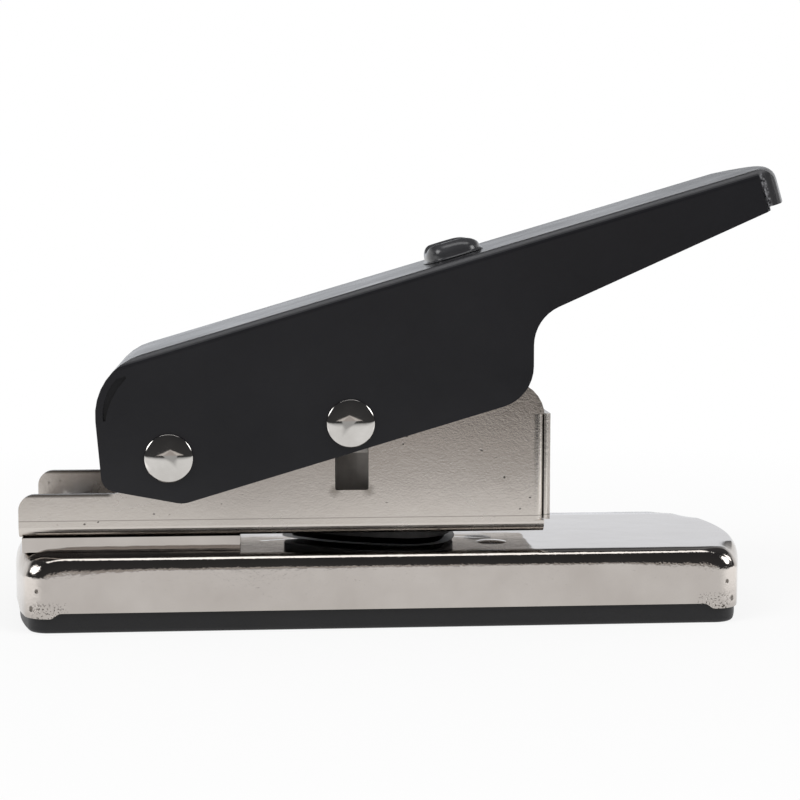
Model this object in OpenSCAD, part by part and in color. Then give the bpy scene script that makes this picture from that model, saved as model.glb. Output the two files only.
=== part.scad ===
// Lever punch that cuts guitar picks from sheet plastic, in millimetres.
// X runs from the rear hinge end to the lever tip, Y across, Z up from the table.
// The origin is the middle of the underside.

/* [Base] */
// Length of the drawn steel base shell, over the middle of its bowed ends
base_len = 143.4; // [136:0.2:170]
// Width of the base shell
base_w = 50; // [48:1:60]
// Radius of the shell's corners in plan
base_corner_r = 5; // [4.5:0.5:9]
// How far the shell's ends bow out
base_bow = 3.3; // [0:0.1:4]
// Radius of the shell's rounded top edge
base_edge_r = 2.6; // [2:0.1:4]
// Sheet thickness of the shell
shell_t = 0.5; // [0.4:0.1:0.9]
// Height of the shell's side, from its lower edge to its top
shell_h = 10.3; // [10:0.1:13]
// How far the drawn ears at the corners reach below the lower edge
ear_drop = 1; // [0.4:0.1:1.6]
// How far the ears run in from the ends and sides
ear_len = 9.6; // [6:0.1:12]

/* [Tray] */
// Height of the pick tray that shows below the shell
tray_show = 3.9; // [3:0.1:6]
// Wall thickness of the tray
tray_wall = 1.6; // [1:0.1:2.2]
// Floor thickness of the tray
tray_floor = 1.8; // [1.2:0.1:2.4]
// How far the tray's wall stands up inside the shell
tray_rise = 5; // [3:0.1:6]
// Radius of the tray's lower edge
tray_edge_r = 0.8; // [0.6:0.1:2]
// Gap between the tray and the inside of the shell
tray_clear = 0.1; // [0.1:0.05:0.4]
// Diameter of the posts that seat the tray against the die plate
tray_post_d = 6; // [4:0.5:7]
// Distance of the tray's posts from the middle line
tray_post_y = 6; // [5:0.5:8]
// Distance of the tray's rear posts ahead of the rear frame screws
tray_post_lead = 12; // [10:0.5:14]
// Distance of the tray's front posts behind the die plate's front end
tray_post_inset = 5; // [4.5:0.5:6]

/* [Pick] */
// Length of the pick that is cut, from its tip to its round end
pick_len = 30.5; // [28:0.5:33]
// Width of the pick across its shoulders
pick_w = 26; // [24:0.5:27]
// Radius of the pick's tip
pick_tip_r = 2.6; // [1.5:0.1:3.5]
// Radius of the pick's shoulders
pick_shoulder_r = 6.5; // [5:0.5:8]
// Radius of the pick's flat round end
pick_end_r = 24; // [20:1:40]
// Radius of the pick's bowed sides
pick_side_r = 40; // [34:1:60]
// Middle of the pick, along X
pick_x = -2; // [-4:0.5:0]

/* [Die] */
// Thickness of the steel plate under the shell's top
die_t = 3; // [2.5:0.1:4]
// Width of the die plate
die_w = 38; // [36:0.5:42]
// How far the die plate stops short of the shell's rear end
die_rear_gap = 7.7; // [7:0.1:9]
// How far the die plate runs on past the round end of the pick
die_front = 17; // [15:0.5:22]
// Radius of the die plate's corners
die_corner_r = 3; // [1:0.5:5]
// Width of the raised land round the die's hole
die_land = 2; // [1.2:0.1:3]
// Gap between the land and the window in the shell
die_window_clear = 0.1; // [0.05:0.05:0.3]
// Cutting gap between punch and die
die_clear = 0.06; // [0.04:0.01:0.12]

/* [Frame] */
// Outer width of the bent sheet channel
frame_w = 35.7; // [35:0.1:37]
// Sheet thickness of the channel
frame_t = 1.2; // [1:0.1:1.5]
// Outer radius of the channel's bends
frame_bend_r = 2; // [1.6:0.1:2.6]
// How far the channel's rear end is set in from the base's end
frame_inset = 2.3; // [1:0.1:4]
// Where the near wall's front edge is, along X
frame_front = 31; // [30:0.5:36]
// Height of the throat that the sheet goes into
throat_h = 2.9; // [2.4:0.1:4]
// Height of the channel's rear end above its underside
rear_wall_h = 8.3; // [6:0.1:9]
// Height of the channel's front end above its underside
front_wall_h = 29.9; // [29:0.1:32]
// How far the step behind the pivot leans
step_lean = 1.3; // [0.5:0.1:3]
// Radius at the foot of the step behind the pivot
step_r = 2; // [1:0.1:3]
// Radius of the top rear corner of the walls
rear_corner_r = 3; // [1:0.5:4]
// Radius of the top front corner of the walls
front_corner_r = 7; // [5:0.5:9]
// Height of the front flanges' lower edge above the channel's underside
flange_lift = 2.3; // [2:0.1:4]
// Depth of the throat spacer's front end behind the pick's tip
throat_stop = 10.3; // [9:0.1:14]
// How far the spacer's side is set in from the channel's side
spacer_inset = 0.5; // [0:0.1:1]
// Radius of the corners of the drive pin's slots
slot_corner_r = 0.4; // [0.2:0.1:1]
// Gap between the two front flanges
flange_gap = 0.1; // [0.05:0.05:0.2]

/* [Pivot] */
// Where the lever's pivot is, along X
pivot_x = -40.9; // [-42:0.1:-39]
// Height of the pivot above the channel's underside
pivot_rise = 15.3; // [15:0.1:16.5]
// Diameter of the pivot pin
pivot_d = 6; // [5:0.1:6.5]
// Radius of the wall round the pivot
pivot_boss_r = 8; // [6.5:0.1:8.5]
// Diameter of the domed pin heads
head_d = 9.15; // [8.5:0.05:10]
// Height of the domed pin heads
head_h = 1.6; // [1.4:0.1:2.2]
// Diameter of the tenon that a pin's cap is pressed on
tenon_d = 4; // [3:0.1:4.5]
// Outer diameter of the spacer sleeve on the pivot pin
sleeve_d = 9; // [8:0.5:10]
// Diameter of the thin washers beside the lever
washer_d = 13; // [10:0.5:14]
// Length of a pin's tenon, as a share of its head's height
tenon_share = 0.6; // [0.5:0.05:0.7]
// Gap at the ends of the sleeve and beside the washers
end_gap = 0.05; // [0.02:0.01:0.1]
// Running gap of a pin in its hole
pin_clear = 0.05; // [0.02:0.01:0.08]
// Gap beside pieces that slide past each other
side_clear = 0.1; // [0.05:0.01:0.15]

/* [Lever] */
// Angle of the lever's top at rest, and its swing down to level
lever_tilt = 16.5; // [14:0.5:18]
// Gap between the channel's walls and the lever's sides
lever_gap = 0.55; // [0.4:0.05:1]
// Sheet thickness of the lever
lever_t = 1.4; // [1:0.1:1.5]
// Radius of the fold between the lever's top and sides
lever_fold_r = 1.6; // [1.5:0.1:3]
// Height of the lever's top above the pivot
lever_top = 20.15; // [19.5:0.05:22]
// Depth of the lever's lower edge below the pivot
lever_belly = 9.2; // [8.5:0.1:10]
// Distance from the pivot to the corners of the lever's tip
lever_reach = 125.6; // [116:0.1:138]
// How far the lever's tip bows out between its corners
lever_bow = 3.9; // [1:0.1:6]
// Radius of the fold between the lever's top and its lip
lip_r = 2.8; // [2:0.1:5]
// Depth of the lever's tip
lever_tip_h = 7.9; // [6:0.1:9]
// Distance from the pivot to the end of the deep sides
lever_knee = 69.7; // [68:0.1:74]
// Height of the arm's lower edge above the pivot, where the arm starts
lever_arm_h = 5.35; // [3:0.05:7]
// Distance from the pivot back to the lever's heel
lever_heel = 13.7; // [13:0.1:16]
// Depth of the heel below the pivot
lever_heel_h = 2.1; // [1:0.1:3]
// How far the rear edge leans in between the heel and the top
lever_lean = 4.6; // [3:0.1:6]
// Radius of the curl that closes the lever's rear
lever_curl_r = 11.9; // [10:0.1:13]
// Height above the pivot at which the curl ends
lever_curl_end = 8.8; // [7:0.1:10]
// Radius of the side plates' corners beside the curl
lever_plate_r = 15; // [12.5:0.1:16]
// Radius of the lever's heel
heel_r = 3; // [2:0.1:4]
// Radius of the lever's belly under the pivot
belly_r = 5; // [3:0.1:7]
// Radius of the lever's knee, at its foot and where the arm starts
knee_r = 8; // [6:0.1:8.5]
// Width of the seam beside the lip
lever_seam = 0.3; // [0.2:0.05:0.5]
// Depth of the seam beside the lip
lever_seam_depth = 0.6; // [0.3:0.1:0.8]
// How far the lip stops above the arm's lower edge
lip_rise = 0.5; // [0.2:0.1:1]
// How far the lip wraps round the tip's corners onto the sides
lip_wrap = 2.2; // [1.8:0.1:3]
// Radius of the tip's corners in plan
tip_corner_r = 2; // [1:0.1:2.5]
// Depth of the slit between the curl and the side plates
slit_depth = 0.9; // [0.5:0.1:1.1]

/* [Drive] */
// Distance of the drive pin from the pivot, along the lever
drive_reach = 34.8; // [34:0.1:36]
// Depth of the drive pin below the pivot, square to the lever
drive_drop = 3.7; // [3:0.1:4.5]
// Diameter of the drive pin
drive_d = 5.6; // [5:0.1:6]
// Outer diameter of the roller on the drive pin
roller_d = 8; // [7.5:0.1:8.5]
// Up and down gap of the roller in the ram
roller_clear = 0.08; // [0.05:0.01:0.15]
// Gap of the drive pin in the channel's slots
slot_clear = 0.12; // [0.1:0.01:0.3]
// Gap of the drive pin at the ends of the slots
slot_end_clear = 0.25; // [0.1:0.05:0.4]

/* [Ram] */
// Height of the ram block
ram_h = 12.2; // [12:0.1:13]
// Thickness of the ram's spring lugs
lug_t = 3.7; // [3:0.1:4.5]
// Width of the ram's spring lugs
lug_w = 12; // [11:0.5:14]
// Least wall behind the rear punch screw's head
ram_end_wall = 0.8; // [0.6:0.1:1.2]
// Gap between the ram and the channel's walls
ram_clear = 0.35; // [0.2:0.05:0.5]
// Depth of the punch's edge inside the guide collar at rest
punch_set_back = 3.6; // [3:0.1:4.4]
// Wall of the guide collar round the punch
collar_wall = 1.7; // [1.2:0.1:2]
// How far the guide collar hangs into the throat
collar_drop = 1.5; // [0.8:0.1:1.8]
// Thickness of the guide collar's flange
collar_flange_t = 1.5; // [1.2:0.1:2]
// Height of the guide collar's sleeve above its flange
collar_rise = 2.2; // [1.5:0.1:2.4]
// Gap between the guide collar's flange and the channel's walls
collar_side_gap = 1.15; // [0.8:0.05:2]
// How far the collar's flange runs on past its screws and rivets
collar_margin = 2.5; // [1:0.1:3]
// Gap of the punch in the guide collar
guide_clear = 0.1; // [0.05:0.01:0.15]

/* [Springs] */
// Outer diameter of the return springs
spring_d = 8.8; // [8:0.1:9]
// Diameter of the spring wire
wire_d = 1.2; // [0.8:0.1:1.3]
// Number of turns in each spring
spring_turns = 7; // [5:1:8]
// Rise of the closed turn at each end
end_pitch = 1.8; // [1.75:0.05:2]
// Gap between a spring's cup and the guide collar's sleeve
cup_gap = 0.3; // [0.2:0.05:0.4]
// Width of the rim round a spring on its cup and lug
cup_rim = 0.4; // [0.3:0.05:0.5]
// Thickness of the spring cups
cup_t = 0.8; // [0.5:0.1:1.2]
// Gap between a pip and the inside of its spring
pip_gap = 0.3; // [0.2:0.05:0.5]
// Height of the pips that centre the springs
pip_h = 2; // [1:0.1:2.5]

/* [Lock] */
// Distance from the pivot to the lock button's middle, along the lever
lock_at = 64.3; // [62:0.1:66]
// How far the lock slides forward
lock_travel = 2.9; // [2:0.1:2.9]
// Length of the lock button's foot, along the lever
button_len = 12; // [11.5:0.1:14]
// Width of the lock button's foot
button_w = 17; // [13:0.1:20]
// Thickness of the lock button's foot
foot_t = 0.5; // [0.4:0.1:1.2]
// Height of the lock button above the lever
button_h = 3.2; // [2.4:0.1:4]
// Slope of the button's top, down towards the tip
button_slope = 1; // [0:0.5:6]
// How far the button's body is set in from its foot at the rear and sides
button_inset = 0.3; // [0.2:0.1:0.8]
// How far the body's front slopes back from its foot to its top
button_rake = 2.4; // [1:0.1:3]
// Radius of the body's rounded upper edge
button_round = 0.8; // [0.5:0.1:1.2]
// Radius of the finger groove in the button's top
groove_r = 16; // [10:0.5:20]
// Depth of the finger groove
groove_depth = 0.7; // [0.3:0.1:0.8]
// Length of the stem through the lever, along the lever
stem_len = 4.4; // [4:0.1:4.4]
// Width of the stem
stem_w = 7; // [5:0.1:7]
// Diameter of the lock's screw
lock_screw_d = 2.5; // [2:0.1:3]
// Diameter of the lock screw's head
lock_head_d = 4.6; // [4:0.1:5]
// Height of the lock screw's head
lock_head_h = 1.5; // [1.2:0.1:1.8]
// How far the lock screw reaches into the button
lock_bite = 3; // [2:0.1:3.2]
// Depth of the button's screw hole past the screw's tip
lock_hole_spare = 0.3; // [0.2:0.1:0.4]
// Width of the slot in the lock screw's head
lock_slot_w = 0.8; // [0.5:0.1:1]
// Depth of the slot in the lock screw's head
lock_slot_deep = 0.7; // [0.4:0.1:0.8]
// Sheet thickness of the lock's hook
hook_t = 1.2; // [1:0.1:1.5]
// Width of the lock's hook
hook_w = 8; // [6:0.1:9]
// Length of the catch that the hook slides under
catch_len = 4.4; // [4:0.1:4.6]
// How far the hook's plate runs on past the stem
hook_margin = 2; // [1:0.1:2.5]
// Gap between the hook's arm and the lock screw's head
hook_arm_gap = 0.5; // [0.3:0.1:0.8]
// Gap between the free hook and the catch
hook_free = 0.8; // [0.5:0.1:1.2]
// Gap between the closed hook and the catch
hook_gap = 0.4; // [0.3:0.05:0.6]

/* [Fasteners] */
// Diameter of the frame screws
screw_d = 4; // [3:0.1:4.5]
// Diameter of the frame screws' heads
screw_head_d = 7; // [6:0.1:7.5]
// Height of the frame screws' heads
screw_head_h = 2.2; // [1.6:0.1:3]
// Radius of the frame screws' head edge
screw_head_r = 1; // [0.5:0.1:1.4]
// Length of the crossed slots in the frame screws' heads
cross_len = 4; // [3:0.1:5]
// Width of the crossed slots
cross_w = 1; // [0.6:0.1:1.2]
// Depth of the crossed slots
cross_deep = 1; // [0.6:0.1:1.4]
// How far the frame screws' tips come through the die plate
screw_tip_out = 0.5; // [0.2:0.1:0.8]
// Distance of the frame screws from the middle line
screw_y = 9; // [8:0.5:11]
// Distance of the front frame screws ahead of the pivot
front_screw_lead = 3.4; // [2:0.1:4]
// Distance of the rear frame screws from the channel's rear end
rear_screw_inset = 7.4; // [6:0.1:8]
// How far the rivets are ahead of the pick's round end
rivet_lead = 8.25; // [7.5:0.05:9]
// Diameter of the rivets
rivet_d = 3; // [2.4:0.1:3.4]
// Diameter of the rivets' low heads
rivet_head_d = 6; // [5:0.1:6.4]
// Height of the rivets' low heads
rivet_head_h = 0.3; // [0.2:0.05:0.6]
// Distance of the rivets from the middle line
rivet_y = 11.5; // [11:0.1:12]
// Diameter of the punch screws
punch_screw_d = 3.5; // [2.5:0.1:4]
// Diameter of the punch screws' heads
punch_head_d = 5.6; // [5:0.1:6]
// Height of the punch screws' heads
punch_head_h = 3; // [2:0.1:3.4]
// How far the punch screws reach into the punch
punch_bite = 6; // [5:0.1:6.4]
// Depth of the punch's screw holes past the screws' tips
punch_hole_spare = 0.5; // [0.3:0.1:0.8]
// Gap round the punch screws' heads
punch_head_gap = 0.1; // [0.05:0.05:0.2]
// Wall between the cross slot and the rear punch screw's head
punch_screw_rear = 0.4; // [0.3:0.1:0.6]
// Wall between the cross slot and the front punch screw's head
punch_screw_front = 4; // [2:0.1:4.2]
// Gap of a fixed pin, screw or rivet in its hole
hole_clear = 0.04; // [0.02:0.01:0.1]

/* [Hidden] */
$fn = 48;
// Overshoot of cuts, so that no cut ends on a face
cut = 1;
// Depth by which a form is sunk into the one it grows from
weld = 0.1;
// Thickness of the slices that a rounded form is drawn from
sliver = 0.01;
// Facets of a rounded corner in an outline
corner_steps = 8;

// Levels, from the table up
shell_z = tray_show;
base_top = tray_show + shell_h;
ceiling_z = base_top - shell_t;
die_z = ceiling_z - die_t;
frame_z = base_top + throat_h;
floor_z = frame_z + frame_t;
collar_z = frame_z - collar_drop;
flange_top = floor_z + collar_flange_t;
collar_top = flange_top + collar_rise;
pivot_z = frame_z + pivot_rise;
cup_top = flange_top + cup_t;

// Lever swing: the drive pin's place at rest, when pressed and at its farthest
function lever_point(u, w, tilt) =
  [pivot_x + u * cos(tilt) - w * sin(tilt), pivot_z + u * sin(tilt) + w * cos(tilt)];
drive_rest = lever_point(drive_reach, -drive_drop, lever_tilt);
drive_pressed = lever_point(drive_reach, -drive_drop, 0);
drive_far_x = pivot_x + norm([drive_reach, drive_drop]);
drive_near_x = min(drive_rest[0], drive_pressed[0]);
ram_travel = drive_rest[1] - drive_pressed[1];
drive_r = drive_d / 2;
slot_x0 = drive_near_x - drive_r - slot_clear;
slot_x1 = drive_far_x + drive_r + slot_clear;
slot_z0 = drive_pressed[1] - drive_r - slot_end_clear;
slot_z1 = drive_rest[1] + drive_r + slot_end_clear;

// Channel
frame_in = frame_w / 2 - frame_t;
frame_rear = -base_len / 2 + frame_inset;
rear_top = frame_z + rear_wall_h;
front_top = frame_z + front_wall_h;
flange_z = frame_z + flange_lift;
flange_end = front_top - front_corner_r;
far_front = frame_front + flange_gap + frame_t;
catch_x = frame_front - frame_t - catch_len;
catch_half = hook_w / 2 + 1;
pick_front = pick_x + pick_len / 2;
pick_tip = pick_x - pick_len / 2;
spacer_front = pick_tip - throat_stop;
cup_r = spring_d / 2 + cup_rim;
front_spring_x = pick_front + collar_wall + cup_gap + cup_r;
rear_spring_x = pick_tip - collar_wall - cup_gap - cup_r;
pip_d = spring_d - 2 * (wire_d + pip_gap);
rivet_x = pick_front + rivet_lead;

// Lever, in its own plane: u along its top from the pivot, w square to it
lever_in = frame_w / 2 + lever_gap;
lever_w = 2 * (lever_in + lever_t);
lever_inner_top = lever_top - lever_t;
tip_back = lever_reach - 3 * lip_r;
bow_r = (lever_w * lever_w / 4 + lever_bow * lever_bow) / (2 * lever_bow);
knee_foot = [lever_knee, -lever_belly];
knee_head = knee_foot + (lever_arm_h + lever_belly) * [tan(lever_tilt), 1];
rear_corner = [-lever_heel + lever_lean, lever_top];

// Ram and punch
ram_z = drive_rest[1] - ram_h / 2;
ram_top = ram_z + ram_h;
lug_z = ram_top - lug_t;
punch_z = collar_z + punch_set_back;
ram_half = frame_in - ram_clear;

// Frame screws: place along X and the level that the head sits on
front_screw_x = pivot_x + front_screw_lead;
rear_screw_x = frame_rear + rear_screw_inset;
frame_screw_places = [[rear_screw_x, floor_z], [front_screw_x, flange_top]];
screw_tip_z = die_z - screw_tip_out;
collar_rear = front_screw_x - screw_head_d / 2 - collar_margin;
collar_front = rivet_x + rivet_head_d / 2 + collar_margin;
collar_half = frame_in - collar_side_gap;
die_rear = -base_len / 2 + die_rear_gap;
die_end = pick_front + die_front;
post_places = [rear_screw_x + tray_post_lead, die_end - tray_post_inset];

// Direction of a vector, and an angle brought within half a turn
function unit(v) = v / norm(v);
function half_turn(a) = a > 180 ? a - 360 : a < -180 ? a + 360 : a;
function arc(c, r, a, b, n) = [for (i = [0 : n]) c + r * [cos(a + (b - a) * i / n), sin(a + (b - a) * i / n)]];

// Arc without its last point, where the next arc starts
function open_arc(c, r, a, b, n) = let (points = arc(c, r, a, b, n)) [for (i = [0 : n - 1]) points[i]];

// Fillet of radius r in the corner a, b, c of an outline
function fillet(a, b, c, r) =
  let (
    u = unit(a - b),
    v = unit(c - b),
    half = acos(u * v) / 2,
    m = b + unit(u + v) * r / sin(half),
    s = b + u * r / tan(half) - m,
    e = b + v * r / tan(half) - m,
    from = atan2(s[1], s[0]),
    sweep = half_turn(atan2(e[1], e[0]) - from)
  ) arc(m, r, from, from + sweep, corner_steps);

// Outline through points [x, y, radius]
function rounded(points) =
  let (n = len(points))
  [for (i = [0 : n - 1])
    let (
      a = points[(i + n - 1) % n],
      b = points[i],
      c = points[(i + 1) % n]
    )
    each b[2] == 0 ? [[b[0], b[1]]] : fillet([a[0], a[1]], [b[0], b[1]], [c[0], c[1]], b[2])];

// Rounded rectangle, centred
function plan(l, w, r) =
  rounded([[l / 2, -w / 2, r], [l / 2, w / 2, r], [-l / 2, w / 2, r], [-l / 2, -w / 2, r]]);

// Point on the lower side where two circles meet
function meet(p, rp, q, rq) =
  let (
    d = norm(q - p),
    a = (d * d + rp * rp - rq * rq) / (2 * d),
    h = sqrt(rp * rp - a * a),
    along = unit(q - p)
  ) p + a * along + h * [along[1], -along[0]];

// Outline of the pick grown by d, tip to the rear: four tangent arcs a side
function pick(d) =
  let (
    end = [pick_len / 2 - pick_end_r, 0],
    sy = pick_w / 2 - pick_shoulder_r,
    shoulder = [end[0] + sqrt(pow(pick_end_r - pick_shoulder_r, 2) - sy * sy), sy],
    tip = [pick_tip_r - pick_len / 2, 0],
    side = meet(tip, pick_side_r - pick_tip_r, shoulder, pick_side_r - pick_shoulder_r),
    a1 = atan2(shoulder[1] - end[1], shoulder[0] - end[0]),
    a2 = atan2(shoulder[1] - side[1], shoulder[0] - side[0]),
    a3 = atan2(tip[1] - side[1], tip[0] - side[0]),
    half = concat(
      open_arc(end, pick_end_r + d, 0, a1, 4),
      open_arc(shoulder, pick_shoulder_r + d, a1, a2, 8),
      open_arc(side, pick_side_r + d, a2, a3, 5),
      arc(tip, pick_tip_r + d, a3, 180, 4)
    ),
    last = len(half) - 1
  ) concat(half, [for (i = [last - 1 : -1 : 1]) [half[i][0], -half[i][1]]]);

// Oval with semi-axes a and b
function oval(a, b) = [for (i = [0 : 39]) [a * cos(i * 9), b * sin(i * 9)]];

// Block of the pick's outline, grown by d, between two levels
module pick_block(d, z0, z1) {
  translate([pick_x, 0, z0])
    linear_extrude(z1 - z0)
      polygon(pick(d));
}

// Plate from an outline in the X, Z plane, centred across Y
module across(points, width) {
  rotate([90, 0, 0])
    linear_extrude(width, center = true)
      polygon(points);
}

// Bar along X from an outline in the Y, Z plane
module along(points, x0, x1) {
  translate([x0, 0, 0])
    rotate([90, 0, 90])
      linear_extrude(x1 - x0)
        polygon(points);
}

// Round rod along Y
module rod(x, z, d, y0, y1) {
  translate([x, y0, z])
    rotate([-90, 0, 0])
      cylinder(d = d, h = y1 - y0);
}

// Upright rod
module post(x, y, d, z0, z1) {
  translate([x, y, z0])
    cylinder(d = d, h = z1 - z0);
}

// Block between two corners
module block(low, high) {
  translate(low)
    cube(high - low);
}

// Draws its children in the lever's plane
module on_lever() {
  translate([pivot_x, 0, pivot_z])
    rotate([0, -lever_tilt, 0])
      children();
}

// Half outline of a domed head, from the axis out
function dome(d, h) =
  let (r = (d * d / 4 + h * h) / (2 * h), edge = asin(d / 2 / r))
  concat([[0, 0], [d / 2, 0]], [for (i = [7 : -1 : 0]) [r * sin(edge * i / 8), h - r + r * cos(edge * i / 8)]]);

// Domed head on the near side, seated at y
module near_head(x, z, y) {
  translate([x, y, z])
    rotate([90, 0, 0])
      rotate_extrude()
        polygon(dome(head_d, head_h));
}

// Solid with the base's bowed plan, set in by d: half outline from its corner's axis out
module base_form(d, corner, outline) {
  steps = 4;
  hull()
    for (x = [-1, 1], k = [-steps : steps])
      translate([
        x * (base_len / 2 - d - corner - base_bow * pow(k / steps, 2)),
        k / steps * (base_w / 2 - d - corner),
        0
      ])
        rotate_extrude($fn = 32)
          polygon(outline);
}

// Solid of the shell's outer form, set in by d, from level z0 up
module shell_form(d, z0) {
  edge = base_edge_r - d;
  corner = base_corner_r - d;
  base_form(d, corner, concat(
    [[0, z0], [corner, z0]],
    arc([corner - edge, base_top - d - edge], edge, 0, 90, 5),
    [[0, base_top - d]]
  ));
}

// Deep-drawn chromed shell: ears at the corners, window for the die, screw and rivet holes
module base_shell() {
  color("silver")
    difference() {
      shell_form(0, shell_z - ear_drop);
      shell_form(shell_t, shell_z - ear_drop - cut);
      block(
        [-base_len / 2 + ear_len, -base_w, shell_z - ear_drop - cut],
        [base_len / 2 - ear_len, base_w, shell_z]
      );
      block(
        [-base_len, -base_w / 2 + ear_len, shell_z - ear_drop - cut],
        [base_len, base_w / 2 - ear_len, shell_z]
      );
      pick_block(die_land, ceiling_z - cut, base_top + cut);
      for (s = [-1, 1]) {
        post(rivet_x, s * rivet_y, rivet_d + 2 * hole_clear, ceiling_z - cut, base_top + cut);
        for (p = frame_screw_places)
          post(p[0], s * screw_y, screw_d + 2 * hole_clear, ceiling_z - cut, base_top + cut);
      }
    }
}

// Moulded tray pushed up inside the shell: it seats on the die plate by four posts
module pick_tray() {
  inset = shell_t + tray_clear;
  r = base_corner_r - inset;
  e = tray_edge_r;
  rim = tray_show + tray_rise;
  color("#2d2c2e") {
    difference() {
      base_form(inset, r, concat([[0, 0]], arc([r - e, e], e, -90, 0, 4), [[r, rim], [0, rim]]));
      base_form(
        inset + tray_wall, r - tray_wall,
        [[0, tray_floor], [r - tray_wall, tray_floor], [r - tray_wall, rim + cut], [0, rim + cut]]
      );
    }
    for (x = post_places, s = [-1, 1])
      post(x, s * tray_post_y, tray_post_d, tray_floor - weld, die_z);
  }
}

// Steel plate that stiffens the base: its raised land is the die, flush with the shell's top
module die_plate() {
  color("dimgray")
    difference() {
      union() {
        translate([(die_rear + die_end) / 2, 0, die_z])
          linear_extrude(die_t)
            polygon(plan(die_end - die_rear, die_w, die_corner_r));
        pick_block(die_land - die_window_clear, ceiling_z - weld, base_top);
      }
      pick_block(die_clear, die_z - cut, base_top + cut);
      for (s = [-1, 1]) {
        post(rivet_x, s * rivet_y, rivet_d + 2 * hole_clear, die_z - cut, ceiling_z + cut);
        for (p = frame_screw_places)
          post(p[0], s * screw_y, screw_d + 2 * hole_clear, die_z - cut, ceiling_z + cut);
      }
    }
}

// Rivet with a low dome at each end of its grip
module rivet(x, y, z0, z1) {
  post(x, y, rivet_d, z0, z1);
  translate([x, y, z1])
    rotate_extrude()
      polygon(dome(rivet_head_d, rivet_head_h));
  translate([x, y, z0])
    mirror([0, 0, 1])
      rotate_extrude()
        polygon(dome(rivet_head_d, rivet_head_h));
}

// Two rivets that hold the front of the shell down on the die plate
module die_rivets() {
  color("gainsboro")
    for (s = [-1, 1])
      rivet(rivet_x, s * rivet_y, die_z, base_top);
}

// Bright plate between base and channel: its thickness is the throat, its front end the stop
module throat_spacer() {
  color("silver")
    difference() {
      block(
        [frame_rear + spacer_inset, -frame_w / 2 + spacer_inset, base_top],
        [spacer_front, frame_w / 2 - spacer_inset, frame_z]
      );
      for (p = frame_screw_places, s = [-1, 1])
        post(p[0], s * screw_y, screw_d + 2 * hole_clear, base_top - cut, frame_z + cut);
    }
}

// Side of the channel: low at the rear, stepped up round the pivot and rounded at the front
function wall_outline() = rounded([
  [frame_front, frame_z, 0],
  [frame_front, front_top, front_corner_r],
  [pivot_x - pivot_boss_r + step_lean / 2, pivot_z + pivot_boss_r, pivot_boss_r / 2],
  [pivot_x - pivot_boss_r - step_lean / 2, rear_top, step_r],
  [frame_rear, rear_top, rear_corner_r],
  [frame_rear, frame_z, 0]
]);

// Cross-section of the channel, outside or inside
function channel_section(half, z0, r) = rounded([
  [half, z0, r],
  [half, front_top + cut, 0],
  [-half, front_top + cut, 0],
  [-half, z0, r]
]);

// Front flange bent in from a wall, in plan: y0 is the wall's outer face
module front_flange(x1, y0, y1) {
  s = sign(y1 - y0);
  translate([0, 0, flange_z])
    linear_extrude(flange_end - flange_z)
      polygon(rounded([
        [x1, y0, frame_bend_r],
        [x1, y1, 0],
        [x1 - frame_t, y1, 0],
        [x1 - frame_t, y0 + s * frame_t, frame_bend_r - frame_t],
        [frame_front - frame_bend_r, y0 + s * frame_t, 0],
        [frame_front - frame_bend_r, y0, 0]
      ]));
}

// Bent sheet channel that carries the pivot, guides the drive pin and closes the front
module frame_channel() {
  color("#b8b2ab") {
    difference() {
      intersection() {
        across(wall_outline(), frame_w);
        along(channel_section(frame_w / 2, frame_z, frame_bend_r), frame_rear - cut, frame_front + cut);
      }
      along(
        channel_section(frame_in, floor_z, frame_bend_r - frame_t),
        frame_rear - cut, frame_front + cut
      );
      block(
        [frame_front - frame_bend_r, -frame_w, flange_z - sliver],
        [frame_front + cut, frame_w, flange_end + sliver]
      );
      pick_block(collar_wall + die_window_clear, frame_z - cut, floor_z + cut);
      across(
        rounded([
          [slot_x0, slot_z0, slot_corner_r],
          [slot_x1, slot_z0, slot_corner_r],
          [slot_x1, slot_z1, slot_corner_r],
          [slot_x0, slot_z1, slot_corner_r]
        ]),
        frame_w + cut
      );
      rod(pivot_x, pivot_z, pivot_d + 2 * hole_clear, -frame_w, frame_w);
      for (s = [-1, 1]) {
        post(rivet_x, s * rivet_y, rivet_d + 2 * hole_clear, frame_z - cut, floor_z + cut);
        for (p = frame_screw_places)
          post(p[0], s * screw_y, screw_d + 2 * hole_clear, frame_z - cut, floor_z + cut);
      }
    }
    front_flange(frame_front, -frame_w / 2, catch_half);
    front_flange(far_front, frame_w / 2, -frame_in);
    block(
      [catch_x, -catch_half, flange_end - frame_t],
      [frame_front - frame_t / 2, catch_half, flange_end]
    );
  }
}

// Four screws that clamp channel, spacer and shell to the die plate
module frame_screws() {
  color("lightgray")
    for (p = frame_screw_places, s = [-1, 1]) {
      post(p[0], s * screw_y, screw_d, screw_tip_z, p[1]);
      translate([p[0], s * screw_y, p[1]])
        difference() {
          rotate_extrude()
            polygon(concat(
              [[0, 0], [screw_head_d / 2, 0]],
              arc([screw_head_d / 2 - screw_head_r, screw_head_h - screw_head_r], screw_head_r, 0, 90, 4),
              [[0, screw_head_h]]
            ));
          for (a = [0, 90])
            rotate(a)
              block(
                [-cross_len / 2, -cross_w / 2, screw_head_h - cross_deep],
                [cross_len / 2, cross_w / 2, screw_head_h + cut]
              );
        }
    }
}

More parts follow.
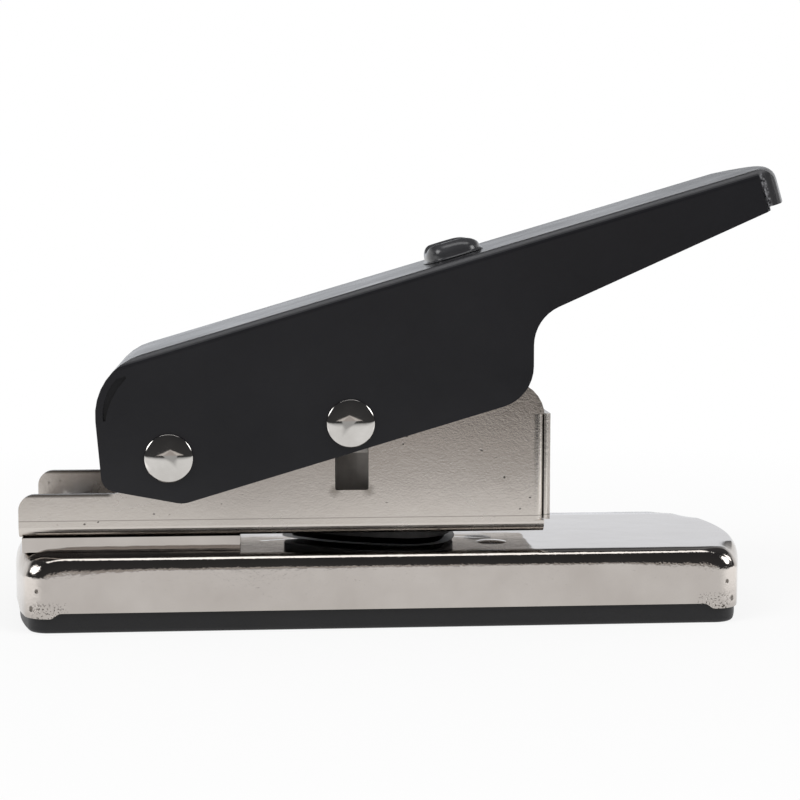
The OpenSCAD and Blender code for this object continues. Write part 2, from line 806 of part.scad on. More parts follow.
// Collar that guides the punch: it hangs through the channel's floor into the throat
module guide_collar() {
  color("#2a2a2c")
    difference() {
      union() {
        pick_block(collar_wall, collar_z, collar_top);
        block([collar_rear, -collar_half, floor_z], [collar_front, collar_half, flange_top]);
      }
      pick_block(guide_clear, collar_z - cut, collar_top + cut);
      for (s = [-1, 1]) {
        post(rivet_x, s * rivet_y, rivet_d + 2 * hole_clear, floor_z - cut, flange_top + cut);
        post(front_screw_x, s * screw_y, screw_d + 2 * hole_clear, floor_z - cut, flange_top + cut);
      }
    }
}

// Two rivets that hold the collar's front to the channel's floor
module collar_rivets() {
  color("gainsboro")
    for (s = [-1, 1])
      rivet(rivet_x, s * rivet_y, frame_z, flange_top);
}

// Dished washers with a pip, under the return springs
module spring_cups() {
  color("lightgray")
    for (x = [front_spring_x, rear_spring_x]) {
      post(x, 0, 2 * cup_r, flange_top, cup_top);
      post(x, 0, pip_d, cup_top - weld, cup_top + pip_h);
    }
}

// Height along a spring, turn by turn: closed end turns and an even rise between them
coil_r = (spring_d - wire_d) / 2;
coil_z0 = cup_top + wire_d / 2;
coil_z1 = lug_z - wire_d / 2;
mid_pitch = (coil_z1 - coil_z0 - 2 * end_pitch) / (spring_turns - 2);
function coil_z(t) =
  coil_z0 + end_pitch * (min(t, 1) + max(t - spring_turns + 1, 0))
  + mid_pitch * max(min(t, spring_turns - 1) - 1, 0);
function coil_point(t) = [coil_r * cos(360 * t), coil_r * sin(360 * t), coil_z(t)];
coil_rings = 8;
wire_sides = 6;
coil_points = [for (i = [0 : spring_turns * coil_rings]) coil_point(i / coil_rings)];
coil_gap = min([for (i = [0 : len(coil_points) - coil_rings - 1])
  norm(coil_points[i + coil_rings] - coil_points[i])]) - wire_d;
echo(least_gap_in_spring = coil_gap);

// Wire swept along the coil, as one closed tube of triangles
module coil(x) {
  n = len(coil_points);
  points = [for (i = [0 : n - 1])
    let (
      t = i / coil_rings,
      way = unit(coil_point(t + 0.01) - coil_point(t - 0.01)),
      out = [cos(360 * t), sin(360 * t), 0],
      up = cross(way, out)
    )
    for (k = [0 : wire_sides - 1])
      coil_points[i] + wire_d / 2 * (cos(360 * k / wire_sides) * out + sin(360 * k / wire_sides) * up)];
  function id(i, k) = i * wire_sides + k % wire_sides;
  faces = concat(
    [for (i = [0 : n - 2], k = [0 : wire_sides - 1]) [id(i, k), id(i, k + 1), id(i + 1, k + 1)]],
    [for (i = [0 : n - 2], k = [0 : wire_sides - 1]) [id(i, k), id(i + 1, k + 1), id(i + 1, k)]],
    [for (k = [1 : wire_sides - 2]) [id(0, 0), id(0, k + 1), id(0, k)]],
    [for (k = [1 : wire_sides - 2]) [id(n - 1, 0), id(n - 1, k), id(n - 1, k + 1)]]
  );
  translate([x, 0, 0])
    polyhedron(points, faces);
}

// Return spring in front of the punch
module front_spring() {
  color("lightsteelblue")
    coil(front_spring_x);
}

// Return spring behind the punch
module rear_spring() {
  color("lightsteelblue")
    coil(rear_spring_x);
}

// Pin with a domed near head, a plain shank and a tenon for its far cap
module headed_pin(x, z, d, seat) {
  near_head(x, z, -seat);
  rod(x, z, d, -seat, seat);
  rod(x, z, tenon_d, seat, seat + tenon_share * head_h);
}

// Domed cap pressed on a pin's tenon
module pin_cap(x, z, seat) {
  difference() {
    mirror([0, 1, 0])
      near_head(x, z, -seat);
    rod(x, z, tenon_d + 2 * hole_clear, seat - cut, seat + tenon_share * head_h + hole_clear);
  }
}

pivot_seat = lever_w / 2 + side_clear;

// Pin that the lever turns on, fixed in the channel
module pivot_pin() {
  color("white")
    headed_pin(pivot_x, pivot_z, pivot_d, pivot_seat);
}

// Far head of the pivot pin
module pivot_cap() {
  color("white")
    pin_cap(pivot_x, pivot_z, pivot_seat);
}

// Ring along Y round an axis
module ring(x, z, outer, bore, y0, y1) {
  difference() {
    rod(x, z, outer, y0, y1);
    rod(x, z, bore, y0 - cut, y1 + cut);
  }
}

// Sleeve on the pivot pin that keeps the channel's walls apart
module pivot_sleeve() {
  color("lightgray")
    ring(pivot_x, pivot_z, sleeve_d, pivot_d + 2 * hole_clear, -frame_in + end_gap, frame_in - end_gap);
}

// Thin washers between the channel's walls and the lever's sides
module pivot_washers() {
  washer_out = lever_in - side_clear;
  washer_in = frame_w / 2 + end_gap;
  color("lightgray") {
    ring(pivot_x, pivot_z, washer_d, pivot_d + 2 * hole_clear, washer_in, washer_out);
    ring(pivot_x, pivot_z, washer_d, pivot_d + 2 * hole_clear, -washer_out, -washer_in);
  }
}

// Lower corner of the lever's tip, and the arm's lower edge run on past the bow
tip_low = [lever_reach, lever_top - lever_tip_h];
arm_end = knee_head + (tip_low - knee_head) * (lever_reach + 2 * lever_bow - knee_head[0])
  / (lever_reach - knee_head[0]);

// Side of the lever: curled rear, heel, belly, knee and the slim arm to past the tip
function lever_outline() = rounded([
  [arm_end[0], arm_end[1], 0],
  [arm_end[0], lever_top, 0],
  [rear_corner[0], rear_corner[1], lever_curl_r],
  [-lever_heel, -lever_heel_h, heel_r],
  [0, -lever_belly, belly_r],
  [knee_foot[0], knee_foot[1], knee_r],
  [knee_head[0], knee_head[1], knee_r]
]);

// Inside of the lever, under its top and curl, set in by d, with a corner of radius r
function lever_inside(d, r) =
  let (
    rear = unit([lever_lean, lever_top + lever_heel_h]),
    shift = d * [rear[1], -rear[0]],
    foot = [-lever_heel, -lever_heel_h] + shift,
    head_u = foot[0] + (lever_top - d - foot[1]) * rear[0] / rear[1],
    deep = -lever_belly - cut
  )
  rounded([
    [arm_end[0], deep, 0],
    [arm_end[0], lever_top - d, 0],
    [head_u, lever_top - d, r],
    [foot[0] + (deep - foot[1]) * rear[0] / rear[1], deep, 0]
  ]);

// Plan of the lever: straight sides, rounded corners and a front just outside the bow
function lever_plan() =
  let (
    lean = asin(lever_w / 2 / bow_r),
    nose = lever_reach + lever_bow - bow_r + bow_r / cos(lean)
  )
  rounded([
    [-2 * lever_heel, -lever_w / 2, 0],
    [lever_reach, -lever_w / 2, tip_corner_r],
    [nose, 0, 0],
    [lever_reach, lever_w / 2, tip_corner_r],
    [-2 * lever_heel, lever_w / 2, 0]
  ]);

// Everything behind the bowed tip, set in by d: a disc with a rounded rim and the bar behind it
module behind_tip(d) {
  low = -2 * lever_belly;
  translate([lever_reach + lever_bow - bow_r, 0, 0])
    rotate_extrude($fn = 160)
      polygon(concat(
        [[0, low], [bow_r - d, low]],
        arc([bow_r - lip_r, lever_top - lip_r], lip_r - d, 0, 90, 6),
        [[0, lever_top - d]]
      ));
  block([-2 * lever_heel, -lever_w, low], [tip_back, lever_w, lever_top - d]);
}

// Pressed steel lever: a channel open below, curled over at the rear and lipped at the tip
module lever_shell() {
  slot_half = stem_w / 2 + side_clear;
  seam_top = lever_top - lip_r - 1;
  color("#262628")
    on_lever()
      difference() {
        intersection() {
          across(lever_outline(), lever_w);
          along(
            rounded([
              [lever_w / 2, -2 * lever_belly, 0],
              [lever_w / 2, lever_top, lever_fold_r],
              [-lever_w / 2, lever_top, lever_fold_r],
              [-lever_w / 2, -2 * lever_belly, 0]
            ]),
            -2 * lever_heel, arm_end[0] + cut
          );
          behind_tip(0);
          translate([0, 0, -2 * lever_belly])
            linear_extrude(2 * lever_belly + lever_top)
              polygon(lever_plan());
        }
        intersection() {
          across(lever_inside(lever_t, lever_curl_r - lever_t), 2 * lever_in);
          behind_tip(lever_t);
        }
        block(
          [-2 * lever_heel, -lever_in, -2 * lever_belly],
          [0, lever_in, lever_curl_end]
        );
        // The side plates' corners are cut flatter than the curl, which leaves a slit beside it
        intersection() {
          difference() {
            across(lever_inside(lever_t, lever_curl_r - lever_t), 2 * lever_w);
            across(lever_inside(lever_t, lever_plate_r), 3 * lever_w);
          }
          for (s = [-1, 1])
            translate([0, s * lever_w / 2, 0])
              block(
                [-2 * lever_heel, -slit_depth, lever_curl_end + lever_t],
                [rear_corner[0] + lever_curl_r / 2, slit_depth, lever_top - lever_fold_r - lever_t]
              );
        }
        // The lip butts on the side plates in a shallow seam and stops above their lower edge
        intersection() {
          difference() {
            behind_tip(lip_wrap);
            behind_tip(lip_wrap + lever_seam);
          }
          for (s = [-1, 1])
            translate([0, s * lever_w / 2, 0])
              block(
                [tip_back + cut, -lever_seam_depth, 0],
                [arm_end[0], lever_seam_depth, seam_top]
              );
        }
        difference() {
          block(
            [tip_back, -lever_w, -lever_belly],
            [arm_end[0], lever_w, tip_low[1] + lip_rise]
          );
          behind_tip(lip_wrap);
        }
        rod(0, 0, pivot_d + 2 * pin_clear, -lever_w, lever_w);
        rod(drive_reach, -drive_drop, drive_d + 2 * hole_clear, -lever_w, lever_w);
        block(
          [lock_at - stem_len / 2 - side_clear, -slot_half, lever_inner_top - cut],
          [lock_at + stem_len / 2 + lock_travel + side_clear, slot_half, lever_top + cut]
        );
      }
}

// Pin that drives the ram, held in the lever's sides
module drive_pin() {
  color("white")
    headed_pin(drive_rest[0], drive_rest[1], drive_d, lever_w / 2);
}

// Far head of the drive pin
module drive_cap() {
  color("white")
    pin_cap(drive_rest[0], drive_rest[1], lever_w / 2);
}

// Roller on the drive pin, inside the ram's cross slot
module drive_roller() {
  color("lightgray")
    ring(drive_rest[0], drive_rest[1], roller_d, drive_d + 2 * hole_clear, -ram_half, ram_half);
}

// Places of the punch screws, clear of the cross slot on both sides
roller_x0 = drive_near_x - roller_d / 2 - slot_clear;
roller_x1 = drive_far_x + roller_d / 2 + slot_clear;
punch_screw_places = [
  roller_x0 - punch_head_d / 2 - punch_screw_rear,
  roller_x1 + punch_head_d / 2 + punch_screw_front
];

// Block that slides between the channel's walls: cross slot for the roller, lugs for the springs
module ram_block() {
  ram_rear = min(pick_tip, roller_x0 - punch_head_d - punch_screw_rear - ram_end_wall);
  slot_r = roller_d / 2 + roller_clear;
  color("slategray") {
    difference() {
      union() {
        block([ram_rear, -ram_half, ram_z], [pick_front, ram_half, ram_top]);
        block(
          [rear_spring_x - cup_r, -lug_w / 2, lug_z],
          [front_spring_x + cup_r, lug_w / 2, ram_top]
        );
      }
      rod(drive_near_x - slot_clear, drive_rest[1], 2 * slot_r, -ram_half - cut, ram_half + cut);
      rod(drive_far_x + slot_clear, drive_rest[1], 2 * slot_r, -ram_half - cut, ram_half + cut);
      block(
        [drive_near_x - slot_clear, -ram_half - cut, drive_rest[1] - slot_r],
        [drive_far_x + slot_clear, ram_half + cut, drive_rest[1] + slot_r]
      );
      for (x = punch_screw_places) {
        post(x, 0, punch_screw_d + 2 * hole_clear, ram_z - cut, ram_top + cut);
        post(x, 0, punch_head_d + 2 * punch_head_gap, ram_top - punch_head_h, ram_top + cut);
      }
    }
    for (x = [front_spring_x, rear_spring_x])
      post(x, 0, pip_d, lug_z - pip_h, lug_z + weld);
  }
}

// Hardened punch with the pick's outline, screwed up under the ram
module pick_punch() {
  color("gray")
    difference() {
      pick_block(0, punch_z, ram_z);
      for (x = punch_screw_places)
        post(x, 0, punch_screw_d + 2 * hole_clear, ram_z - punch_bite - punch_hole_spare, ram_z + cut);
    }
}

// Two socket screws down through the ram into the punch
module punch_screws() {
  head_z = ram_top - punch_head_h;
  color("lightgray")
    for (x = punch_screw_places)
      difference() {
        union() {
          post(x, 0, punch_screw_d, ram_z - punch_bite, head_z + weld);
          post(x, 0, punch_head_d, head_z, ram_top);
        }
        translate([x, 0, ram_top - punch_head_h / 2])
          cylinder(d = punch_head_d / 2, h = punch_head_h, $fn = 6);
      }
}

foot_lift = side_clear;
hook_top = lever_inner_top - side_clear;
lock_screw_at = lock_at;

// Moulded lock button: an oval foot, a raked body with a finger groove, and the stem below
module lock_button() {
  a = button_len / 2;
  b = button_w / 2;
  top = lever_top + button_h;
  body_a = a - button_inset;
  top_a = body_a - button_rake / 2 - button_round / 2;
  top_b = b - button_inset - button_round;
  color("#1c1c1e")
    on_lever()
      translate([lock_at, 0, 0])
        difference() {
          union() {
            translate([0, 0, lever_top + foot_lift])
              linear_extrude(foot_t)
                polygon(oval(a, b));
            hull() {
              translate([0, 0, lever_top + foot_lift])
                linear_extrude(foot_t)
                  polygon(oval(body_a, b - button_inset));
              for (q = [0 : 30 : 90])
                translate([-button_rake / 2 + button_round / 2, 0, top - button_round * (1 - sin(q)) - sliver])
                  rotate([0, button_slope, 0])
                    linear_extrude(sliver)
                      polygon(oval(top_a - button_round * (1 - cos(q)), top_b - button_round * (1 - cos(q))));
            }
            block([-stem_len / 2, -stem_w / 2, hook_top], [stem_len / 2, stem_w / 2, lever_top + foot_t]);
          }
          translate([-a, 0, top + groove_r - groove_depth])
            rotate([0, 90 + button_slope, 0])
              cylinder(r = groove_r, h = 1.2 * button_len);
          translate([lock_screw_at - lock_at, 0, hook_top - cut])
            cylinder(d = lock_screw_d + 2 * hole_clear, h = lock_bite + lock_hole_spare + cut);
        }
}

// Sheet hook under the lever's top: slid forward, its toe goes under the channel's catch
module lock_hook() {
  toe_u = catch_x - pivot_x - hook_free;
  toe_top = flange_end - frame_t - pivot_z - hook_gap;
  arm_u = lock_screw_at - lock_head_d / 2 - hook_arm_gap;
  color("lightgray")
    on_lever()
      difference() {
        union() {
          block(
            [arm_u - hook_t, -stem_w / 2 - hook_margin, hook_top - hook_t],
            [lock_at + stem_len / 2 + hook_margin, stem_w / 2 + hook_margin, hook_top]
          );
          block([arm_u - hook_t, -hook_w / 2, toe_top - hook_t], [arm_u, hook_w / 2, hook_top]);
          block([arm_u - hook_t, -hook_w / 2, toe_top - hook_t], [toe_u, hook_w / 2, toe_top]);
        }
        translate([lock_screw_at, 0, hook_top - hook_t - cut])
          cylinder(d = lock_screw_d + 2 * hole_clear, h = hook_t + 2 * cut);
      }
}

// Screw that holds the hook up on the button's stem
module lock_screw() {
  head_top = hook_top - hook_t;
  color("lightgray")
    on_lever()
      translate([lock_screw_at, 0, head_top - lock_head_h])
        difference() {
          union() {
            cylinder(d = lock_head_d, h = lock_head_h);
            cylinder(d = lock_screw_d, h = lock_head_h + hook_t + lock_bite);
          }
          block(
            [-lock_head_d, -lock_slot_w / 2, -cut],
            [lock_head_d, lock_slot_w / 2, lock_slot_deep]
          );
        }
}

base_shell();
pick_tray();
die_plate();
die_rivets();
throat_spacer();
frame_channel();
frame_screws();
guide_collar();
collar_rivets();
spring_cups();
front_spring();
rear_spring();
pivot_pin();
pivot_cap();
pivot_sleeve();
pivot_washers();
lever_shell();
drive_pin();
drive_cap();
drive_roller();
ram_block();
pick_punch();
punch_screws();
lock_button();
lock_hook();
lock_screw();
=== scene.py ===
# Lever punch that cuts guitar picks from sheet plastic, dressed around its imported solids.
# Metres, X from the hinge end to the lever's tip, Z up from the table.
import math

import bmesh
import bpy
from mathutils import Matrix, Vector


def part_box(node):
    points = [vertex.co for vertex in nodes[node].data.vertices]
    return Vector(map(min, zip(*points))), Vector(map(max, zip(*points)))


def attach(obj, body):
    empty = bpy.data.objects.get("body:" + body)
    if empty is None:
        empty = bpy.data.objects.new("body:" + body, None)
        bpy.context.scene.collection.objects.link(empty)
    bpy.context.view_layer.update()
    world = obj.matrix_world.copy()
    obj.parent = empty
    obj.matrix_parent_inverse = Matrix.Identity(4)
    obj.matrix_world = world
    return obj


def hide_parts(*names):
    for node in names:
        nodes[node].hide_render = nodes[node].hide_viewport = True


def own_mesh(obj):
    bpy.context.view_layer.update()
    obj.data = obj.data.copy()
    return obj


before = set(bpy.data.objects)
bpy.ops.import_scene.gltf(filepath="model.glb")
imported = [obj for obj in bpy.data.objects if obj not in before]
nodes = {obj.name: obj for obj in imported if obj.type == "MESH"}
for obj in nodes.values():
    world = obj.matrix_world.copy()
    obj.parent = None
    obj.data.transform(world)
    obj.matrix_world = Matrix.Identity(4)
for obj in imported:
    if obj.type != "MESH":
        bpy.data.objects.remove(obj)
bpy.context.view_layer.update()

# Base shell: one sheet of mild steel deep drawn into a shallow pan with bowed ends, its
# corners drawn lower as ears, then bright nickel plated. A window in its top lets the die's
# land through, and screws and rivets hold it down on the die plate.
MM = 0.001
base_length = 143.4 * MM
base_width = 50 * MM
base_corner = 5 * MM
base_bow = 3.3 * MM
least_corner = 1.2 * MM
base_sheet = 0.5 * MM
base_foot = 3.9 * MM
base_top = 14.2 * MM
foot_rim, window_rim = 0.12 * MM, 0.03 * MM
foot_rim_start = 0.3
edge_radius, edge_turn = 3.1 * MM, math.radians(50)
crest_radius = 0.5 * MM
flat_runs = (2.1 * MM, 2.6 * MM, 3.2 * MM, 4 * MM, 5.5 * MM)
ball_radius = 4 * MM
corner_fall = 0.6
fall_from, fall_to = 42 * MM, 68 * MM
ball_from, ball_to = (60 * MM, 14 * MM), (67 * MM, 21 * MM)
ear_drop = 1 * MM
ear_slope = 2 * MM
ear_from = (61.1 * MM, 14.4 * MM)
pick_middle = -2 * MM
pick_half = (15.25 * MM, 13 * MM)
tip_round, side_round, shoulder_round, end_round = 2.6 * MM, 40 * MM, 6.5 * MM, 24 * MM
land_width = 2 * MM
wall_steps, arc_steps, crest_steps, top_steps, inner_steps = 8, 16, 8, 6, 4


def base_plan():
    """Once round the base: centre of curvature and outward angle of each point of its plan."""
    half_length = base_length / 2 - base_corner
    half_width = base_width / 2 - base_corner
    end_steps, turn_steps, side_steps = 24, 16, 40
    lean = math.atan2(2 * base_bow, half_width)
    quarter = []
    for i in range(end_steps + 1):
        share = i / end_steps
        angle = math.atan2(2 * base_bow * share, half_width)
        quarter.append((half_length - base_bow * share * share, share * half_width, angle))
    half_length -= base_bow
    for i in range(1, turn_steps + 1):
        quarter.append((half_length, half_width, lean + (math.pi / 2 - lean) * i / turn_steps))
    for i in range(1, side_steps + 1):
        quarter.append((half_length * (1 - (i / side_steps) ** 2), half_width, math.pi / 2))
    back = quarter[-2::-1]
    return (
        quarter
        + [(-x, y, math.pi - angle) for x, y, angle in back]
        + [(-x, -y, math.pi + angle) for x, y, angle in quarter[1:]]
        + [(x, -y, -angle) for x, y, angle in back[:-1]]
    )


base_points = base_plan()


def base_ring(set_in, height):
    """Ring of the base's plan, set in from the shell's side, at a height that may vary."""
    radius = max(base_corner - set_in, least_corner)
    shift = set_in - base_corner + radius
    half_length = base_length / 2 - base_corner - base_bow
    half_width = base_width / 2 - base_corner
    ring = []
    for x, y, angle in base_points:
        at_x = x - math.copysign(shift * min(abs(x) / half_length, 1), x) + radius * math.cos(angle)
        at_y = y * (1 - shift / half_width) + radius * math.sin(angle)
        ring.append((at_x, at_y, height(at_x, at_y) if callable(height) else height))
    return ring


def ease(share):
    """Smooth step from 0 to 1."""
    share = min(max(share, 0), 1)
    return share * share * (3 - 2 * share)


def shell_foot(x, y):
    """Height of the shell's lower edge, lower at the ears."""
    ear = min(ease((abs(x) - ear_from[0]) / ear_slope), ease((abs(y) - ear_from[1]) / ear_slope))
    return base_foot - ear_drop * ear


def bearing(start, stop):
    """Direction in plan from one point to another."""
    return math.atan2(stop[1] - start[1], stop[0] - start[0])


def half_pick():
    """Arcs of half a pick from its wide end to its tip: centre, radius, first and last bearing."""
    end_at = (pick_half[0] - end_round, 0)
    shoulder_y = pick_half[1] - shoulder_round
    shoulder_at = (end_at[0] + math.sqrt((end_round - shoulder_round) ** 2 - shoulder_y ** 2), shoulder_y)
    tip_at = (tip_round - pick_half[0], 0)
    gap = math.dist(tip_at, shoulder_at)
    to_tip, to_shoulder = side_round - tip_round, side_round - shoulder_round
    reach = (to_tip ** 2 - to_shoulder ** 2 + gap * gap) / (2 * gap)
    drop = math.sqrt(to_tip ** 2 - reach ** 2)
    ahead_x, ahead_y = (shoulder_at[0] - tip_at[0]) / gap, (shoulder_at[1] - tip_at[1]) / gap
    side_at = (tip_at[0] + reach * ahead_x + drop * ahead_y, tip_at[1] + reach * ahead_y - drop * ahead_x)
    end_stop = bearing(end_at, shoulder_at)
    shoulder_stop = bearing(side_at, shoulder_at)
    side_stop = bearing(side_at, tip_at)
    return (
        (end_at, end_round, 0, end_stop),
        (shoulder_at, shoulder_round, end_stop, shoulder_stop),
        (side_at, side_round, shoulder_stop, side_stop),
        (tip_at, tip_round, side_stop, math.pi),
    )


pick_arcs = half_pick()


def pick_reach(angle, grow):
    """Distance from the pick's middle to its outline, grown, in a direction in plan."""
    slack = 1e-6
    ahead_x, ahead_y = math.cos(angle), abs(math.sin(angle))
    for centre, radius, first, last in pick_arcs:
        abreast = ahead_x * centre[0] + ahead_y * centre[1]
        left = abreast * abreast - (centre[0] ** 2 + centre[1] ** 2 - (radius + grow) ** 2)
        if left <= 0:
            continue
        far = abreast + math.sqrt(left)
        if first - slack <= bearing(centre, (far * ahead_x, far * ahead_y)) <= last + slack:
            return far
    return pick_half[1] + grow


def pick_ring(grow, height, like):
    """Ring of the pick's outline, grown, with its points in the directions of another ring."""
    ring = []
    for x, y, _ in like:
        angle = math.atan2(y, x - pick_middle)
        far = pick_reach(angle, grow)
        ring.append((pick_middle + far * math.cos(angle), far * math.sin(angle), height))
    return ring


def between(low, high, share):
    """Ring part of the way from one ring to another."""
    return [tuple(a + (b - a) * share for a, b in zip(start, stop)) for start, stop in zip(low, high)]


def piece_of(name, mesh):
    """Object for a new mesh: faces turned outward and shaded smooth, with flats kept flat."""
    work = bmesh.new()
    work.from_mesh(mesh)
    bmesh.ops.recalc_face_normals(work, faces=work.faces)
    work.to_mesh(mesh)
    work.free()
    mesh.polygons.foreach_set("use_smooth", [True] * len(mesh.polygons))
    piece = bpy.data.objects.new(name, mesh)
    bpy.context.scene.collection.objects.link(piece)
    even = piece.modifiers.new("flats", "WEIGHTED_NORMAL")
    even.keep_sharp = True
    return piece


def loft(name, rings, closed):
    """Mesh piece skinned over rings of points: closed into a tube, or capped at both ends."""
    count = len(rings[0])
    points = [point for ring in rings for point in ring]
    faces = []
    for r in range(len(rings) if closed else len(rings) - 1):
        low, high = r * count, (r + 1) % len(rings) * count
        for i in range(count):
            j = (i + 1) % count
            faces.append((low + i, low + j, high + j, high + i))
    if not closed:
        faces.append(tuple(range(count))[::-1])
        faces.append(tuple(range(len(points) - count, len(points))))
    mesh = bpy.data.meshes.new(name)
    mesh.from_pydata(points, [], faces)
    return piece_of(name, mesh)


def edge_section():
    """Section of the shell's top edge, from its wall to its flat top: (run in, drop below it)."""
    points = []
    low = crest_radius * (1 - math.sin(edge_turn)) + edge_radius * math.sin(edge_turn)
    for i in range(arc_steps):
        turn = edge_turn * i / arc_steps
        points.append((edge_radius * (1 - math.cos(turn)), low - edge_radius * math.sin(turn)))
    at = edge_radius * (1 - math.cos(edge_turn)) + crest_radius * math.cos(edge_turn)
    for i in range(crest_steps + 1):
        turn = edge_turn + (math.pi / 2 - edge_turn) * i / crest_steps
        points.append((at - crest_radius * math.cos(turn), crest_radius * (1 - math.sin(turn))))
    points += [(run, 0) for run in flat_runs]
    return points


edge_points = edge_section()
edge_fall = edge_points[0][1]


def edge_level(run, drop, thick=0):
    """Height on the shell's top edge, which falls further at the ends and is a ball at each corner."""
    inside = max(ball_radius - run, 0)
    ball = ball_radius - math.sqrt(ball_radius ** 2 - inside ** 2)

    def level(x, y):
        fall = corner_fall * ease((abs(x) - fall_from) / (fall_to - fall_from))
        plain = drop * (1 + fall * drop / edge_fall)
        share = ease((abs(x) - ball_from[0]) / (ball_to[0] - ball_from[0]))
        share *= ease((abs(y) - ball_from[1]) / (ball_to[1] - ball_from[1]))
        return base_top - thick - plain + (plain - ball) * share

    return level


def wall_level(share, foot):
    """Height on the shell's wall, from its lower edge to where its top edge starts."""
    top = edge_level(0, edge_fall)
    return lambda x, y: (shell_foot(x, y) + foot) * (1 - share) + top(x, y) * share


rim_start = foot_rim * foot_rim_start
shell_rings = [base_ring(foot_rim, shell_foot)]
shell_rings.append(base_ring(rim_start, lambda x, y: shell_foot(x, y) + rim_start))
shell_rings += [base_ring(0, wall_level(i / wall_steps, foot_rim)) for i in range(wall_steps)]
shell_rings += [base_ring(run, edge_level(run, drop)) for run, drop in edge_points]
flat = shell_rings[-1]
window = pick_ring(land_width + window_rim, base_top, flat)
shell_rings += [between(flat, window, i / top_steps) for i in range(1, top_steps + 1)]
shell_rings.append(pick_ring(land_width, base_top - window_rim, flat))
shell_rings.append(pick_ring(land_width, base_top - base_sheet, flat))
for run, drop in edge_points[::-1]:
    shell_rings.append(base_ring(base_sheet + run, edge_level(run, drop, base_sheet)))
for i in range(1, inner_steps + 1):
    shell_rings.append(base_ring(base_sheet, wall_level(1 - i / inner_steps, 0)))
base_shell = loft("drawn_base_shell", shell_rings, True)

usual_noise = (0.3, 0.7)


